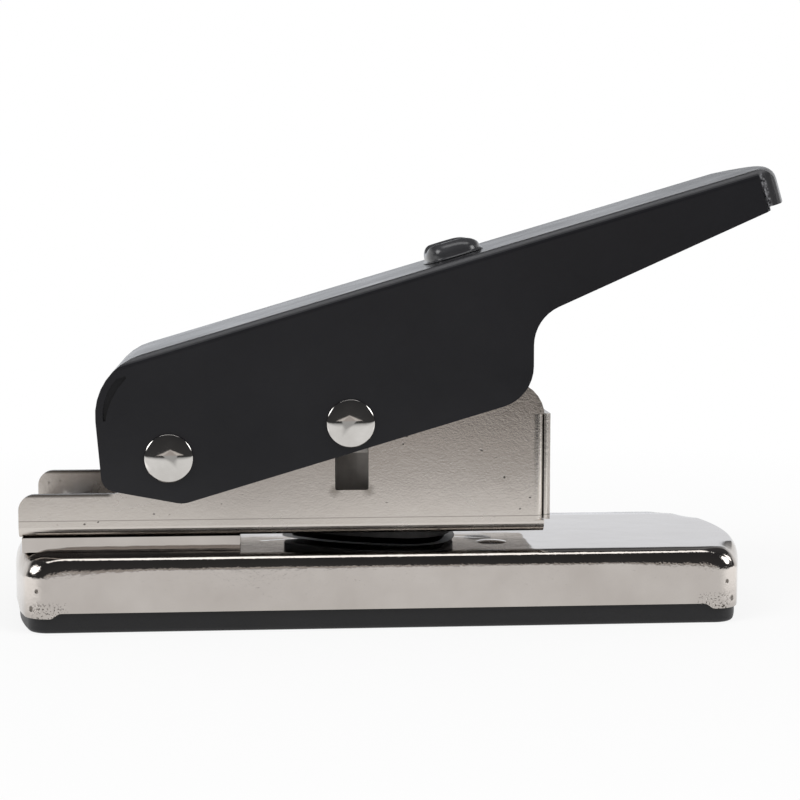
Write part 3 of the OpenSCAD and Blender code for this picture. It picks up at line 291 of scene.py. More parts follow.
class Finish:
    """A finish in the making: its material and shader, and the steps from place to colour."""

    def __init__(self, name, **constants):
        self.material = bpy.data.materials.new(name)
        self.material.use_nodes = True
        self.tree = self.material.node_tree
        self.shader = self.tree.nodes["Principled BSDF"]
        for socket, value in constants.items():
            self.shader.inputs[socket.replace("_", " ")].default_value = value
        self.place = self.node("TexCoord").outputs["Object"]

    def node(self, kind):
        """New node of a kind."""
        return self.tree.nodes.new("ShaderNode" + kind)

    def feed(self, socket, value):
        """Sets a socket to a plain value, or links it to what another node gives."""
        if isinstance(value, bpy.types.NodeSocket):
            self.tree.links.new(value, socket)
        else:
            socket.default_value = value

    def grain(self, per_metre, detail=2.0, rough=0.5, stretch=None):
        """Noise with so many features a metre, stretched along the axes where asked."""
        place = self.vector("MULTIPLY", self.place, stretch) if stretch else self.place
        noise = self.node("TexNoise")
        self.feed(noise.inputs["Scale"], per_metre)
        self.feed(noise.inputs["Detail"], detail)
        self.feed(noise.inputs["Roughness"], rough)
        self.feed(noise.inputs["Vector"], place)
        return noise.outputs["Fac"]

    def along(self, axis, of=None):
        """One coordinate of a place, in metres, or of a direction."""
        split = self.node("SeparateXYZ")
        self.feed(split.inputs["Vector"], self.place if of is None else of)
        return split.outputs[axis]

    def vector(self, how, first, second=(0, 0, 0)):
        """Arithmetic on places or directions, which gives another one or a length."""
        node = self.node("VectorMath")
        node.operation = how
        self.feed(node.inputs[0], first)
        self.feed(node.inputs[1], second)
        return node.outputs["Value" if how in ("DISTANCE", "LENGTH", "DOT_PRODUCT") else "Vector"]

    def maths(self, how, first, second=0):
        """Arithmetic on two values, either of which may be a plain number."""
        node = self.node("Math")
        node.operation = how
        self.feed(node.inputs[0], first)
        self.feed(node.inputs[1], second)
        return node.outputs["Value"]

    def plus(self, first, second):
        """Sum of two values."""
        return self.maths("ADD", first, second)

    def minus(self, first, second):
        """Difference of two values."""
        return self.maths("SUBTRACT", first, second)

    def times(self, first, second):
        """Product of two values."""
        return self.maths("MULTIPLY", first, second)

    def size(self, value):
        """A value without its sign."""
        return self.maths("ABSOLUTE", value)

    def rolled(self, share):
        """Height of a face that falls ever steeper, from 1 where a share is 0 to 0 where it is 1."""
        return self.minus(1, self.times(share, share))

    def spread(self, value, start, stop, low, high, curve="LINEAR"):
        """Maps a range of a noise or a place to a range of a finish's value."""
        node = self.node("MapRange")
        node.interpolation_type = curve
        self.feed(node.inputs["Value"], value)
        self.feed(node.inputs["From Min"], start)
        self.feed(node.inputs["From Max"], stop)
        self.feed(node.inputs["To Min"], low)
        self.feed(node.inputs["To Max"], high)
        return node.outputs["Result"]

    def band(self, value, rise, fall):
        """1 between two places, rising to it over one range and falling from it over another."""
        return self.times(self.spread(value, *rise, 0, 1), self.spread(value, *fall, 1, 0))

    def vary(self, noise, low, high):
        """A finish's value that follows a noise over its usual range."""
        return self.spread(noise, *usual_noise, low, high)

    def tint(self, value, *stops):
        """Colour along a value, from stops of (value there, colour)."""
        ramp = self.node("ValToRGB")
        bands = ramp.color_ramp.elements
        while len(bands) < len(stops):
            bands.new(0.5)
        for band, (at, colour) in zip(bands, stops):
            band.position = at
            band.color = colour + (1,)
        self.feed(ramp.inputs["Fac"], value)
        return ramp.outputs["Color"]

    def mottle(self, noise, dull, bright):
        """Colour that follows a noise over its usual range."""
        return self.tint(noise, *zip(usual_noise, (dull, bright)))

    def veil(self, mask, under, over):
        """One colour laid over another where a mask is 1."""
        node = self.node("Mix")
        node.data_type = "RGBA"
        self.feed(node.inputs["Factor"], mask)
        held = [socket for socket in node.inputs if socket.type == "RGBA"]
        for socket, colour in zip(held, (under, over)):
            self.feed(socket, colour + (1,) if isinstance(colour, tuple) else colour)
        return [socket for socket in node.outputs if socket.type == "RGBA"][0]

    def show(self, colour, roughness):
        """Gives the shader its colour and roughness."""
        self.feed(self.shader.inputs["Base Color"], colour)
        self.feed(self.shader.inputs["Roughness"], roughness)

    def relief(self, *layers):
        """Gives the shader its bumps, from layers of (height value, depth in metres)."""
        last = None
        for height, depth in layers:
            bump = self.node("Bump")
            self.feed(bump.inputs["Distance"], depth)
            self.feed(bump.inputs["Height"], height)
            if last:
                self.feed(bump.inputs["Normal"], last)
            last = bump.outputs["Normal"]
        self.feed(self.shader.inputs["Normal"], last)


nickel_dull, nickel_bright = (0.45, 0.415, 0.385), (0.52, 0.485, 0.455)
nickel_roughness = (0.05, 0.1)
pit_brown, pit_roughness, pit_depth = (0.10, 0.085, 0.07), 0.4, 0.08 * MM
pits_start, pits_stop = (59.5 * MM, 61.5 * MM), (65.2 * MM, 67.2 * MM)
pits_up_to = (4.2 * MM, 6.4 * MM)
pore_edge = (0.57, 0.64)
dents = (((66.7 * MM, 23.8 * MM, 4.8 * MM), 0.6 * MM), ((65.5 * MM, 24.5 * MM, 8.2 * MM), 0.45 * MM))
dent_core, dent_strength = 0.6, 0.8
top_roll, top_roll_depth = (19.6 * MM, 23.6 * MM), 0.3 * MM
ripple_depth = 0.06 * MM
drawn_below, drawn_depth = (13.8 * MM, 14.18 * MM), 0.06 * MM

nickel = Finish("bright_nickel", Metallic=1.0)
cloud = nickel.grain(90, 3)
pores = nickel.spread(nickel.grain(2400, 2, 0.6), *pore_edge, 0, 1)
from_middle, up = nickel.size(nickel.along("X")), nickel.along("Z")
by_ear = nickel.band(from_middle, pits_start, pits_stop)
by_ear = nickel.times(by_ear, nickel.spread(up, *pits_up_to, 1, 0))
pitted = nickel.times(by_ear, pores)
in_each_corner = nickel.vector("ABSOLUTE", nickel.place)
for dent, wide in dents:
    away = nickel.vector("DISTANCE", in_each_corner, dent)
    dented = nickel.spread(away, wide * dent_core, wide, dent_strength, 0)
    pitted = nickel.maths("MAXIMUM", pitted, dented)
nickel.show(
    nickel.veil(pitted, nickel.mottle(cloud, nickel_dull, nickel_bright), pit_brown),
    nickel.plus(nickel.vary(cloud, *nickel_roughness), nickel.times(pitted, pit_roughness)),
)
to_edge = nickel.spread(nickel.size(nickel.along("Y")), *top_roll, 0, 1)
drawn = nickel.spread(up, *drawn_below, 1, 0)
nickel.relief(
    (nickel.rolled(to_edge), top_roll_depth),
    (nickel.grain(110), ripple_depth),
    (nickel.times(drawn, nickel.grain(900, 3, 0.65)), drawn_depth),
    (nickel.minus(1, pitted), pit_depth),
)
bright_nickel = nickel.material
base_shell.data.materials.append(bright_nickel)
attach(base_shell, "base")
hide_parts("base_shell")

# Die plate and its rivets: a ground steel plate under the shell's top, its colour darkened as
# painted shade for the throat's shadow. Its raised land is the die, flush with the shell. Two
# nickel-plated rivets hold the shell's front down on it.
weld_gap = 2e-6
same_plane, sharp_edge = math.radians(0.4), math.radians(32)


def soften(node, width, steps=2):
    """Eases a solid's sharp edges and keeps its flats flat."""
    piece = nodes[node]
    weld = piece.modifiers.new("weld", "WELD")
    weld.merge_threshold = weld_gap
    plane = piece.modifiers.new("planes", "DECIMATE")
    plane.decimate_type = "DISSOLVE"
    plane.angle_limit = same_plane
    edge = piece.modifiers.new("edges", "BEVEL")
    edge.width = width
    edge.segments = steps
    edge.limit_method = "ANGLE"
    edge.angle_limit = sharp_edge
    edge.miter_outer = "MITER_ARC"
    even = piece.modifiers.new("flats", "WEIGHTED_NORMAL")
    even.keep_sharp = True


def finish_in(material, *names):
    """Gives a finish to solids that keep their own shape."""
    for name in names:
        nodes[name].data.materials.clear()
        nodes[name].data.materials.append(material)


def plain_finish(name, cloud, dull, bright, roughness, pores, depth, **constants):
    """Finish whose colour and roughness follow one noise and its relief another."""
    finish = Finish(name, **constants)
    noise = finish.grain(*cloud)
    finish.show(finish.mottle(noise, dull, bright), finish.vary(noise, *roughness))
    finish.relief((finish.grain(*pores), depth))
    return finish.material


grinding_lines = (900, 3, 0.6, (0.06, 1, 1))
# Ground steel painted darker than it is, as painted shade for the shadow it lies in.
ground_steel_painted_shade = plain_finish(
    "ground_steel_painted_shade", cloud=grinding_lines, dull=(0.12, 0.118, 0.115), bright=(0.17, 0.167, 0.162),
    roughness=(0.3, 0.42), pores=grinding_lines, depth=0.01 * MM, Metallic=1.0,
)
finish_in(ground_steel_painted_shade, "die_plate")
finish_in(bright_nickel, "die_rivets")
soften("die_plate", width=0.04 * MM)
soften("die_rivets", width=0.08 * MM)

# Pick tray: a shallow tray moulded in black plastic, pushed up inside the shell to catch the
# picks. It seats on the die plate by four posts, and its lower edge shows all round.
tray_gap = 0.6 * MM
tray_wall = 1.6 * MM
tray_floor = 1.8 * MM
tray_edge = 0.8 * MM
tray_top = 8.9 * MM
tray_round = 0.3 * MM
edge_steps, side_steps = 8, 4
post_top = 10.7 * MM
post_radius = 3 * MM
post_places = (-50 * MM, 25.25 * MM)
post_side = 6 * MM
post_sunk = 0.1 * MM

tray_rings = []
for i in range(edge_steps + 1):
    turn = math.pi / 2 * i / edge_steps
    set_in = tray_gap + tray_edge * (1 - math.sin(turn))
    tray_rings.append(base_ring(set_in, tray_edge * (1 - math.cos(turn))))
for i in range(1, side_steps + 1):
    rise = (tray_top - tray_round - tray_edge) * i / side_steps
    tray_rings.append(base_ring(tray_gap, tray_edge + rise))
tray_inside = tray_gap + tray_wall
tray_rings += [
    base_ring(tray_gap + tray_round, tray_top),
    base_ring(tray_inside - tray_round, tray_top),
    base_ring(tray_inside, tray_top - tray_round),
    base_ring(tray_inside, tray_floor + tray_round),
    base_ring(tray_inside + tray_round, tray_floor),
]
pick_tray = loft("moulded_pick_tray", tray_rings, False)


def add_turned(piece, at, axis, profile, sides=40):
    """Adds a turned solid to a piece: profile of (radius, distance along the axis), end to end."""
    axis = Vector(axis).normalized()
    across = axis.orthogonal().normalized()
    third = axis.cross(across)
    angles = [2 * math.pi * k / sides for k in range(sides)]
    work = bmesh.new()
    work.from_mesh(piece.data)
    rings = []
    for radius, far in profile:
        middle = Vector(at) + axis * far
        if radius == 0:
            rings.append([work.verts.new(middle)])
            continue
        rims = [radius * (math.cos(angle) * across + math.sin(angle) * third) for angle in angles]
        rings.append([work.verts.new(middle + rim) for rim in rims])
    made = []
    for low, high in zip(rings, rings[1:]):
        for k in range(sides):
            j = (k + 1) % sides
            if len(low) == 1:
                made.append(work.faces.new((low[0], high[j], high[k])))
            elif len(high) == 1:
                made.append(work.faces.new((low[k], low[j], high[0])))
            else:
                made.append(work.faces.new((low[k], low[j], high[j], high[k])))
    bmesh.ops.recalc_face_normals(work, faces=made)
    for face in made:
        face.smooth = True
    work.to_mesh(piece.data)
    work.free()


post_length = post_top - tray_floor + post_sunk
for x in post_places:
    for y in (-post_side, post_side):
        add_turned(pick_tray, (x, y, tray_floor - post_sunk), (0, 0, 1), [
            (0, 0), (post_radius, 0), (post_radius, post_length - tray_round),
            (post_radius - tray_round, post_length), (0, post_length),
        ])

tray_black = plain_finish(
    "tray_black", cloud=(60, 3), dull=(0.010, 0.0100, 0.0108), bright=(0.016, 0.0158, 0.0168),
    roughness=(0.4, 0.52), pores=(3800, 2, 0.6), depth=0.02 * MM, Specular_IOR_Level=0.35,
)
pick_tray.data.materials.append(tray_black)
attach(pick_tray, "tray")
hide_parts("pick_tray")

# Throat spacer: a bright plated plate between base and channel. Its thickness is the throat,
# and its front end is the stop for the sheet.
finish_in(bright_nickel, "throat_spacer")
soften("throat_spacer", width=0.25 * MM, steps=3)

# Frame channel: satin nickel-plated sheet bent into a channel, stepped up round the pivot and
# slotted for the drive pin. Two flanges folded in from its walls close the front. Painted dark
# reflections run along a crease low on the walls and along the rear top edge, and the sheet is
# darker in a speckled band by the front bend and in brown patches at the slot's lower corners.
satin_dull, satin_bright = (0.60, 0.555, 0.51), (0.69, 0.645, 0.60)
satin_roughness = (0.22, 0.3)
crease_reflection_grey, crease_reflection_strength, crease_height = (0.2, 0.18, 0.16), 0.55, 20.3 * MM
crease_core, crease_edge = 0.04 * MM, 0.12 * MM
rear_edge_shade, rear_edge_strength = (0.08, 0.07, 0.06), 0.9
rear_edge_up, rear_edge_stop = (24.7 * MM, 25.1 * MM), (-52.5 * MM, -51.5 * MM)
bend_grey, bend_strength, bend_fray = (0.28, 0.25, 0.22), 0.7, (0.35, 0.65)
bend_start, bend_stop = (28.6 * MM, 30 * MM), (30.2 * MM, 30.6 * MM)
slot_patch_brown, slot_patch_strength = (0.2, 0.175, 0.15), 0.7
slot_patch_core, slot_patch_edge, slot_patch_fray = 0.5 * MM, 2.1 * MM, 1.2 * MM
slot_corners = ((-9.4 * MM, 0, 25.6 * MM), (-3 * MM, 0, 25.6 * MM))
speck_grey, speck_edge, speck_depth = (0.24, 0.22, 0.20), (0.74, 0.78), 0.03 * MM
wall_low, wall_high, wall_bulge = 20 * MM, 50 * MM, 2 * MM
flange_round, flange_depth = 1.15 * MM, 0.9 * MM
wave_depth, peel_depth, wall_peel_depth = 0.03 * MM, 0.01 * MM, 0.04 * MM

satin = Finish("satin_nickel", Metallic=1.0)
lengthwise, up = satin.along("X"), satin.along("Z")
up_wall = satin.spread(up, wall_low, wall_high, 0, 1)
cloud = satin.grain(45, 4, 0.55)
skin = satin.mottle(cloud, satin_dull, satin_bright)
# Painted dark reflection along a crease low on the walls.
off_crease = satin.size(satin.minus(up, crease_height))
crease_reflection = satin.spread(off_crease, crease_core, crease_edge, crease_reflection_strength, 0)
skin = satin.veil(crease_reflection, skin, crease_reflection_grey)
# Painted dark reflection along the walls' rear top edge.
rear_edge_dark_reflection = satin.spread(up, *rear_edge_up, 0, rear_edge_strength)
rear_edge_dark_reflection = satin.times(rear_edge_dark_reflection, satin.spread(lengthwise, *rear_edge_stop, 1, 0))
skin = satin.veil(rear_edge_dark_reflection, skin, rear_edge_shade)
# Darker speckled band on the walls by the front bend.
by_bend = satin.band(lengthwise, bend_start, bend_stop)
by_bend = satin.times(by_bend, satin.spread(satin.grain(1400), *bend_fray, 0, bend_strength))
skin = satin.veil(satin.times(by_bend, up_wall), skin, bend_grey)
in_side_view = satin.vector("MULTIPLY", satin.place, (1, 0, 1))
# Darker brown patches round the slot's lower corners.
for slot_corner in slot_corners:
    away = satin.vector("DISTANCE", in_side_view, slot_corner)
    frayed = satin.plus(away, satin.times(satin.grain(1100), slot_patch_fray))
    slot_patched = satin.spread(frayed, slot_patch_core, slot_patch_edge, slot_patch_strength, 0)
    skin = satin.veil(slot_patched, skin, slot_patch_brown)
specks = satin.spread(satin.grain(620, 1), *speck_edge, 0, 1)
satin.show(satin.veil(specks, skin, speck_grey), satin.vary(cloud, *satin_roughness))
flange_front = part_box("frame_channel")[1][0]
flange_end = satin.spread(lengthwise, flange_front - flange_round, flange_front, 0, 1)
peel = satin.grain(2500, 2, 0.6)
satin.relief(
    (satin.rolled(up_wall), wall_bulge),
    (satin.rolled(flange_end), flange_depth),
    (satin.grain(200), wave_depth),
    (peel, peel_depth),
    (satin.times(peel, up_wall), wall_peel_depth),
    (satin.minus(1, specks), speck_depth),
)
finish_in(satin.material, "frame_channel")
soften("frame_channel", width=0.22 * MM, steps=3)

# Frame screws: four zinc-plated pan head screws with crossed slots. They clamp channel, spacer
# and shell down on the die plate.
zinc_plate = plain_finish(
    "zinc_plate", cloud=(700, 3), dull=(0.46, 0.48, 0.52), bright=(0.60, 0.62, 0.65),
    roughness=(0.2, 0.36), pores=(2600,), depth=0.006 * MM, Metallic=1.0,
)
finish_in(zinc_plate, "frame_screws")
soften("frame_screws", width=0.12 * MM)

# Guide collar and its rivets: a blackened steel collar with the pick's outline, which guides
# the punch and hangs through the channel's floor into the throat. Zinc-plated rivets hold it.
black_oxide = plain_finish(
    "black_oxide", cloud=(500, 3), dull=(0.04, 0.04, 0.041), bright=(0.06, 0.059, 0.060),
    roughness=(0.5, 0.62), pores=(2200,), depth=0.008 * MM, Specular_IOR_Level=0.25,
)
finish_in(black_oxide, "guide_collar")
finish_in(zinc_plate, "collar_rivets")
soften("guide_collar", width=0.18 * MM)
soften("collar_rivets", width=0.08 * MM)

# Return springs and their cups: two springs wound from bright round wire with closed, rounded
# ends. They stand on dished zinc-plated cups and lift the ram and the lever.
spring_radius = 3.8 * MM
wire_radius = 0.6 * MM
spring_turns = 7
closed_rise = 1.8 * MM
spring_foot = 20.6 * MM
spring_head = 41.14 * MM
spring_places = (("front_spring", 20.05 * MM), ("rear_spring", -24.05 * MM))
turn_rings, wire_sides = 40, 14
end_shrink, end_reach = (1, 0.97, 0.8), (0, 0.2, 0.34)
open_rise = (spring_head - spring_foot - 2 * wire_radius - 2 * closed_rise) / (spring_turns - 2)


def coil_height(turn):
    """Height of the wire's middle after so many turns."""
    closed = min(turn, 1) + max(turn - spring_turns + 1, 0)
    opened = max(min(turn, spring_turns - 1) - 1, 0)
    return spring_foot + wire_radius + closed_rise * closed + open_rise * opened


drawing_lines = (1400, 2, 0.6)
drawn_wire = plain_finish(
    "drawn_wire", cloud=drawing_lines, dull=(0.36, 0.37, 0.39), bright=(0.50, 0.51, 0.53),
    roughness=(0.2, 0.34), pores=drawing_lines, depth=0.006 * MM, Metallic=1.0,
)
for name, x in spring_places:
    rings = []
    last = spring_turns * turn_rings
    for i in range(1 - len(end_shrink), last + len(end_shrink)):
        turn = min(max(i, 0), last) / turn_rings
        angle = 2 * math.pi * turn
        out = Vector((math.cos(angle), math.sin(angle), 0))
        ahead = Vector((-math.sin(angle), math.cos(angle), 0))
        past = max(-i, i - last, 0)
        radius = wire_radius * end_shrink[past]
        middle = Vector((x, 0, coil_height(turn))) + spring_radius * out
        middle += ahead * wire_radius * end_reach[past] * (-1 if i < 0 else 1)
        rings.append([
            tuple(middle + radius * (math.cos(side) * out + math.sin(side) * Vector((0, 0, 1))))
            for side in (2 * math.pi * k / wire_sides for k in range(wire_sides))
        ])
    spring = loft("wound_" + name, rings, False)
    spring.data.materials.append(drawn_wire)
    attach(spring, "base")
    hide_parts(name)
    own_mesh(spring)
finish_in(zinc_plate, "spring_cups")
soften("spring_cups", width=0.15 * MM)

# Ram, punch and their screws: a hardened steel block that slides between the channel's walls,
# with the hardened punch screwed up under it by two blackened socket screws.
hardened_steel = plain_finish(
    "hardened_steel", cloud=(420, 3), dull=(0.42, 0.39, 0.37), bright=(0.54, 0.51, 0.48),
    roughness=(0.48, 0.6), pores=(1800,), depth=0.01 * MM, Metallic=0.5,
)
finish_in(hardened_steel, "ram_block", "pick_punch")
finish_in(black_oxide, "punch_screws")
soften("ram_block", width=0.25 * MM)
soften("pick_punch", width=0.08 * MM)
soften("punch_screws", width=0.12 * MM)

# Lever: pressed steel sheet folded into a channel that is open below, its rear curled over and
# its tip turned down in a lip, then powder coated in satin black. Painted sheen makes the coat
# paler and rougher over the folds, a speckled painted highlight runs along the lip's seam, and
# the lip past the seam is painted lighter as the light its curve catches.
pivot_x, pivot_z = -40.9 * MM, 32.4 * MM
lever_tilt = math.radians(16.5)
seam_far = 123.4 * MM
seam_x, seam_z = pivot_x + seam_far * math.cos(lever_tilt), pivot_z + seam_far * math.sin(lever_tilt)
coat_dull, coat_bright = (0.0092, 0.0092, 0.0110), (0.0128, 0.0128, 0.0150)
coat_roughness = (0.19, 0.26)
coat_wave_depth, powder_depth = 0.02 * MM, 0.008 * MM
tip_light_grey, tip_start, tip_full = (0.034, 0.034, 0.036), -0.2 * MM, 0.6 * MM
seam_glint_grey, seam_glint_at, seam_glint_speckle = (0.2, 0.2, 0.21), 0.1 * MM, (0.4, 0.62)
seam_glint_core, seam_glint_edge = 0.3 * MM, 0.6 * MM
fold_sheen_grey, fold_sheen_roughness = (0.07, 0.07, 0.074), 0.2
fold_from_top, fold_to_side, fold_upward = (0.12, 0.5), (0.75, 0.98), (0.1, 0.4)

coat = Finish("black_coat", Specular_IOR_Level=0.27)
powder = coat.grain(2400, 2, 0.6)
haze = coat.grain(40, 4, 0.6)
# Painted sheen: the coat is paler and rougher over the folds, found by the way their faces point.
facing = coat.node("NewGeometry").outputs["Normal"]
sideways = coat.size(coat.along("Y", facing))
fold_sheen = coat.band(sideways, fold_from_top, fold_to_side)
fold_sheen = coat.times(fold_sheen, coat.spread(coat.along("Z", facing), *fold_upward, 0, 1))
past_seam = coat.plus(
    coat.times(coat.minus(coat.along("X"), seam_x), math.cos(lever_tilt)),
    coat.times(coat.minus(coat.along("Z"), seam_z), math.sin(lever_tilt)),
)
black = coat.mottle(haze, coat_dull, coat_bright)
# Painted light: the lip past the seam is lighter, as the light its curve catches.
black = coat.veil(coat.spread(past_seam, tip_start, tip_full, 0, 1), black, tip_light_grey)
# Painted highlight, speckled, along the lip's seam.
off_seam_glint = coat.size(coat.minus(past_seam, seam_glint_at))
seam_glint = coat.spread(off_seam_glint, seam_glint_core, seam_glint_edge, 1, 0)
seam_glint = coat.times(seam_glint, coat.spread(powder, *seam_glint_speckle, 0, 1))
black = coat.veil(seam_glint, black, seam_glint_grey)
coat.show(
    coat.veil(fold_sheen, black, fold_sheen_grey),
    coat.plus(coat.vary(haze, *coat_roughness), coat.times(fold_sheen, fold_sheen_roughness)),
)
coat.relief((coat.grain(260), coat_wave_depth), (powder, powder_depth))
finish_in(coat.material, "lever_shell")
soften("lever_shell", width=0.3 * MM, steps=3)

# Drive pin, cap and roller: a polished pin through the lever's sides with a domed head, a cap
# pressed on its far end and a hardened roller between, which presses the ram.
head_radius = 4.575 * MM
head_height = 1.6 * MM
head_seat_radius = head_radius - 0.1 * MM
tenon_radius, tenon_chamfer = 2 * MM, 0.2 * MM
tenon_length, tenon_straight = head_height * 0.6, head_height * 0.55
cap_play = 0.04 * MM
rim_round = 0.06 * MM
middle_turn, rim_turn, rim_power = 21.3, 15.0, 8
dome_steps, pin_sides = 36, 64
drive_x, drive_z, drive_seat = -6.482 * MM, 38.736 * MM, 19.8 * MM
drive_radius = 2.8 * MM

polished_pin = plain_finish(
    "polished_pin", cloud=(300, 3), dull=(0.55, 0.53, 0.505), bright=(0.64, 0.62, 0.595),
    roughness=(0.04, 0.09), pores=(500,), depth=0.012 * MM, Metallic=1.0,
)


def dome():
    """Profile of a flattened dome that turns down at its rim: (radius, height), rim first."""
    profile = [(0, head_height)]
    wide = (head_radius - rim_round) / dome_steps
    for i in range(1, dome_steps + 1):
        share = (i - 0.5) / dome_steps
        slope = math.tan(math.radians(middle_turn * share + rim_turn * share ** rim_power))
        profile.append((wide * i, profile[-1][1] - wide * slope))
    profile.append((head_radius, profile[-1][1] - rim_round))
    profile.append((head_radius, rim_round))
    return profile[::-1]


def across_punch(name, x, z, profile, body):
    """Polished turned piece on an axis across the punch."""
    piece = piece_of(name, bpy.data.meshes.new(name))
    add_turned(piece, (x, 0, z), (0, 1, 0), profile, pin_sides)
    piece.data.materials.append(polished_pin)
    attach(piece, body)
    return piece


def headed_pin(name, x, z, seat, radius, body):
    """Pin across the punch: domed head on the near side, shank, and tenon for its cap."""
    head = [(wide, -seat - high) for wide, high in dome()][::-1]
    shank = [(head_seat_radius, -seat), (radius, -seat), (radius, seat), (tenon_radius, seat)]
    tenon = [
        (tenon_radius, seat + tenon_straight),
        (tenon_radius - tenon_chamfer, seat + tenon_length),
        (0, seat + tenon_length),
    ]
    return across_punch(name, x, z, head + shank + tenon, body)


def pin_cap(name, x, z, seat, body):
    """Domed cap with a blind bore, pressed on a pin's tenon on the far side."""
    bore = tenon_radius + cap_play
    deep = seat + tenon_length + cap_play
    inside = [(0, deep), (bore, deep), (bore, seat), (head_seat_radius, seat)]
    return across_punch(name, x, z, inside + [(wide, seat + high) for wide, high in dome()], body)


drive_pin = headed_pin("turned_drive_pin", drive_x, drive_z, drive_seat, drive_radius, "lever")
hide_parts("drive_pin")
drive_cap = pin_cap("pressed_drive_cap", drive_x, drive_z, drive_seat, "lever")
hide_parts("drive_cap")
# The roller's ground steel is darkened as painted shade inside the lever.
finish_in(ground_steel_painted_shade, "drive_roller")
soften("drive_roller", width=0.2 * MM)

# Pivot pin, cap, sleeve and washers: the polished pin that the lever turns on, fixed in the
# channel's walls. A zinc-plated sleeve keeps the walls apart, and thin washers centre the lever.
pivot_seat = 19.9 * MM
pivot_radius = 3 * MM
pivot_pin = headed_pin("turned_pivot_pin", pivot_x, pivot_z, pivot_seat, pivot_radius, "base")
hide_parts("pivot_pin")
pivot_cap = pin_cap("pressed_pivot_cap", pivot_x, pivot_z, pivot_seat, "base")
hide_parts("pivot_cap")
finish_in(zinc_plate, "pivot_sleeve", "pivot_washers")
soften("pivot_sleeve", width=0.15 * MM)
soften("pivot_washers", width=0.05 * MM)

# Lever lock: a glossy moulded button with two lobes and a finger groove between them, whose stem
# goes through a slot in the lever. A zinc-plated sheet hook is screwed up under it and catches
# in the channel's front.
lever_top = 20.15 * MM
lock_at = 64.3 * MM
foot_half = (6 * MM, 8.5 * MM)
foot_lift, foot_thick = 0.1 * MM, 0.6 * MM
foot_centre, foot_round, foot_rise, foot_straight = 0.3, 0.08 * MM, 0.06 * MM, 0.1 * MM
button_height = 3.2 * MM
button_inset = 0.45 * MM
oblong = 0.7
lobe_round, rear_round, front_run = 2.6 * MM, 1.3 * MM, 3.6 * MM
groove_half, groove_depth = 4.8 * MM, 1.2 * MM
stem_half = (2.2 * MM, 3.5 * MM)
stem_foot, stem_sunk = 18.65 * MM, 0.2 * MM
oval_points, skirt_steps, lobe_steps = 72, 5, 12
crown_shares = (0.85, 0.7, 0.55, 0.4, 0.25, 0.1)


def on_lever(u, y, w):
    """Point in the lever's own plane: u along its top from the pivot, w square to it."""
    return (
        pivot_x + u * math.cos(lever_tilt) - w * math.sin(lever_tilt),
        y,
        pivot_z + u * math.sin(lever_tilt) + w * math.cos(lever_tilt),
    )


def oval(half_u, half_y, height, shift=0):
    """Oval ring square to the lever; height may vary with place."""
    ring = []
    for k in range(oval_points):
        ahead, aside = math.cos(2 * math.pi * k / oval_points), math.sin(2 * math.pi * k / oval_points)
        u = shift + half_u * math.copysign(abs(ahead) ** oblong, ahead)
        y = half_y * math.copysign(abs(aside) ** oblong, aside)
        ring.append(on_lever(lock_at + u, y, height(u, y) if callable(height) else height))
    return ring


foot_low = lever_top + foot_lift
foot_high = foot_low + foot_thick
body_half = (foot_half[0] - button_inset, foot_half[1] - button_inset)
crown = lever_top + button_height


def groove(y):
    """Depth of the finger groove that runs along the button between its two lobes."""
    return groove_depth * (1 - ease(abs(y) / groove_half))


def button_ring(turn, share=1):
    """Ring on the button's body, from its foot (turn 0) over the lobes; share shrinks the top."""
    pull = 1 - math.cos(turn)
    rear = body_half[0] - rear_round * pull
    front = body_half[0] - front_run * pull
    middle, half_u = (front - rear) / 2, (front + rear) / 2 * share
    half_y = (body_half[1] - lobe_round * pull) * share
    rise = (crown - foot_high) * math.sin(turn)
    return oval(half_u, half_y, lambda u, y: foot_high + rise - groove(y) * math.sin(turn) ** 2, middle)


button_rings = [
    oval(foot_half[0] * foot_centre, foot_half[1] * foot_centre, foot_low),
    oval(foot_half[0] - foot_round, foot_half[1] - foot_round, foot_low),
    oval(*foot_half, foot_low + foot_rise),
]
for i in range(1, skirt_steps):
    turn = math.pi / 2 * i / skirt_steps
    pull = button_inset * math.sin(turn)
    lift = foot_straight + (foot_high - foot_low - foot_straight) * (1 - math.cos(turn))
    button_rings.append(oval(foot_half[0] - pull, foot_half[1] - pull, foot_low + lift))
button_rings += [button_ring(math.pi / 2 * i / lobe_steps) for i in range(lobe_steps + 1)]
button_rings += [button_ring(math.pi / 2, share) for share in crown_shares]
lock_button = loft("moulded_lock_button", button_rings, False)
stem = bmesh.new()
stem.from_mesh(lock_button.data)
corners = [
    stem.verts.new(on_lever(lock_at + end * stem_half[0], side * stem_half[1], w))
    for w in (stem_foot, foot_low + stem_sunk)
    for end, side in ((-1, -1), (1, -1), (1, 1), (-1, 1))
]
stem_faces = [stem.faces.new(corners[3::-1]), stem.faces.new(corners[4:])]
for k in range(4):
    j = (k + 1) % 4
    stem_faces.append(stem.faces.new((corners[k], corners[j], corners[4 + j], corners[4 + k])))
bmesh.ops.recalc_face_normals(stem, faces=stem_faces)
stem.to_mesh(lock_button.data)
stem.free()

gloss_black = plain_finish(
    "gloss_black", cloud=(180, 3), dull=(0.036, 0.036, 0.039), bright=(0.05, 0.05, 0.054),
    roughness=(0.16, 0.24), pores=(700,), depth=0.008 * MM, Specular_IOR_Level=0.5,
)
lock_button.data.materials.append(gloss_black)
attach(lock_button, "lock")
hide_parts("lock_button")
finish_in(zinc_plate, "lock_hook", "lock_screw")
soften("lock_hook", width=0.15 * MM)
soften("lock_screw", width=0.1 * MM)

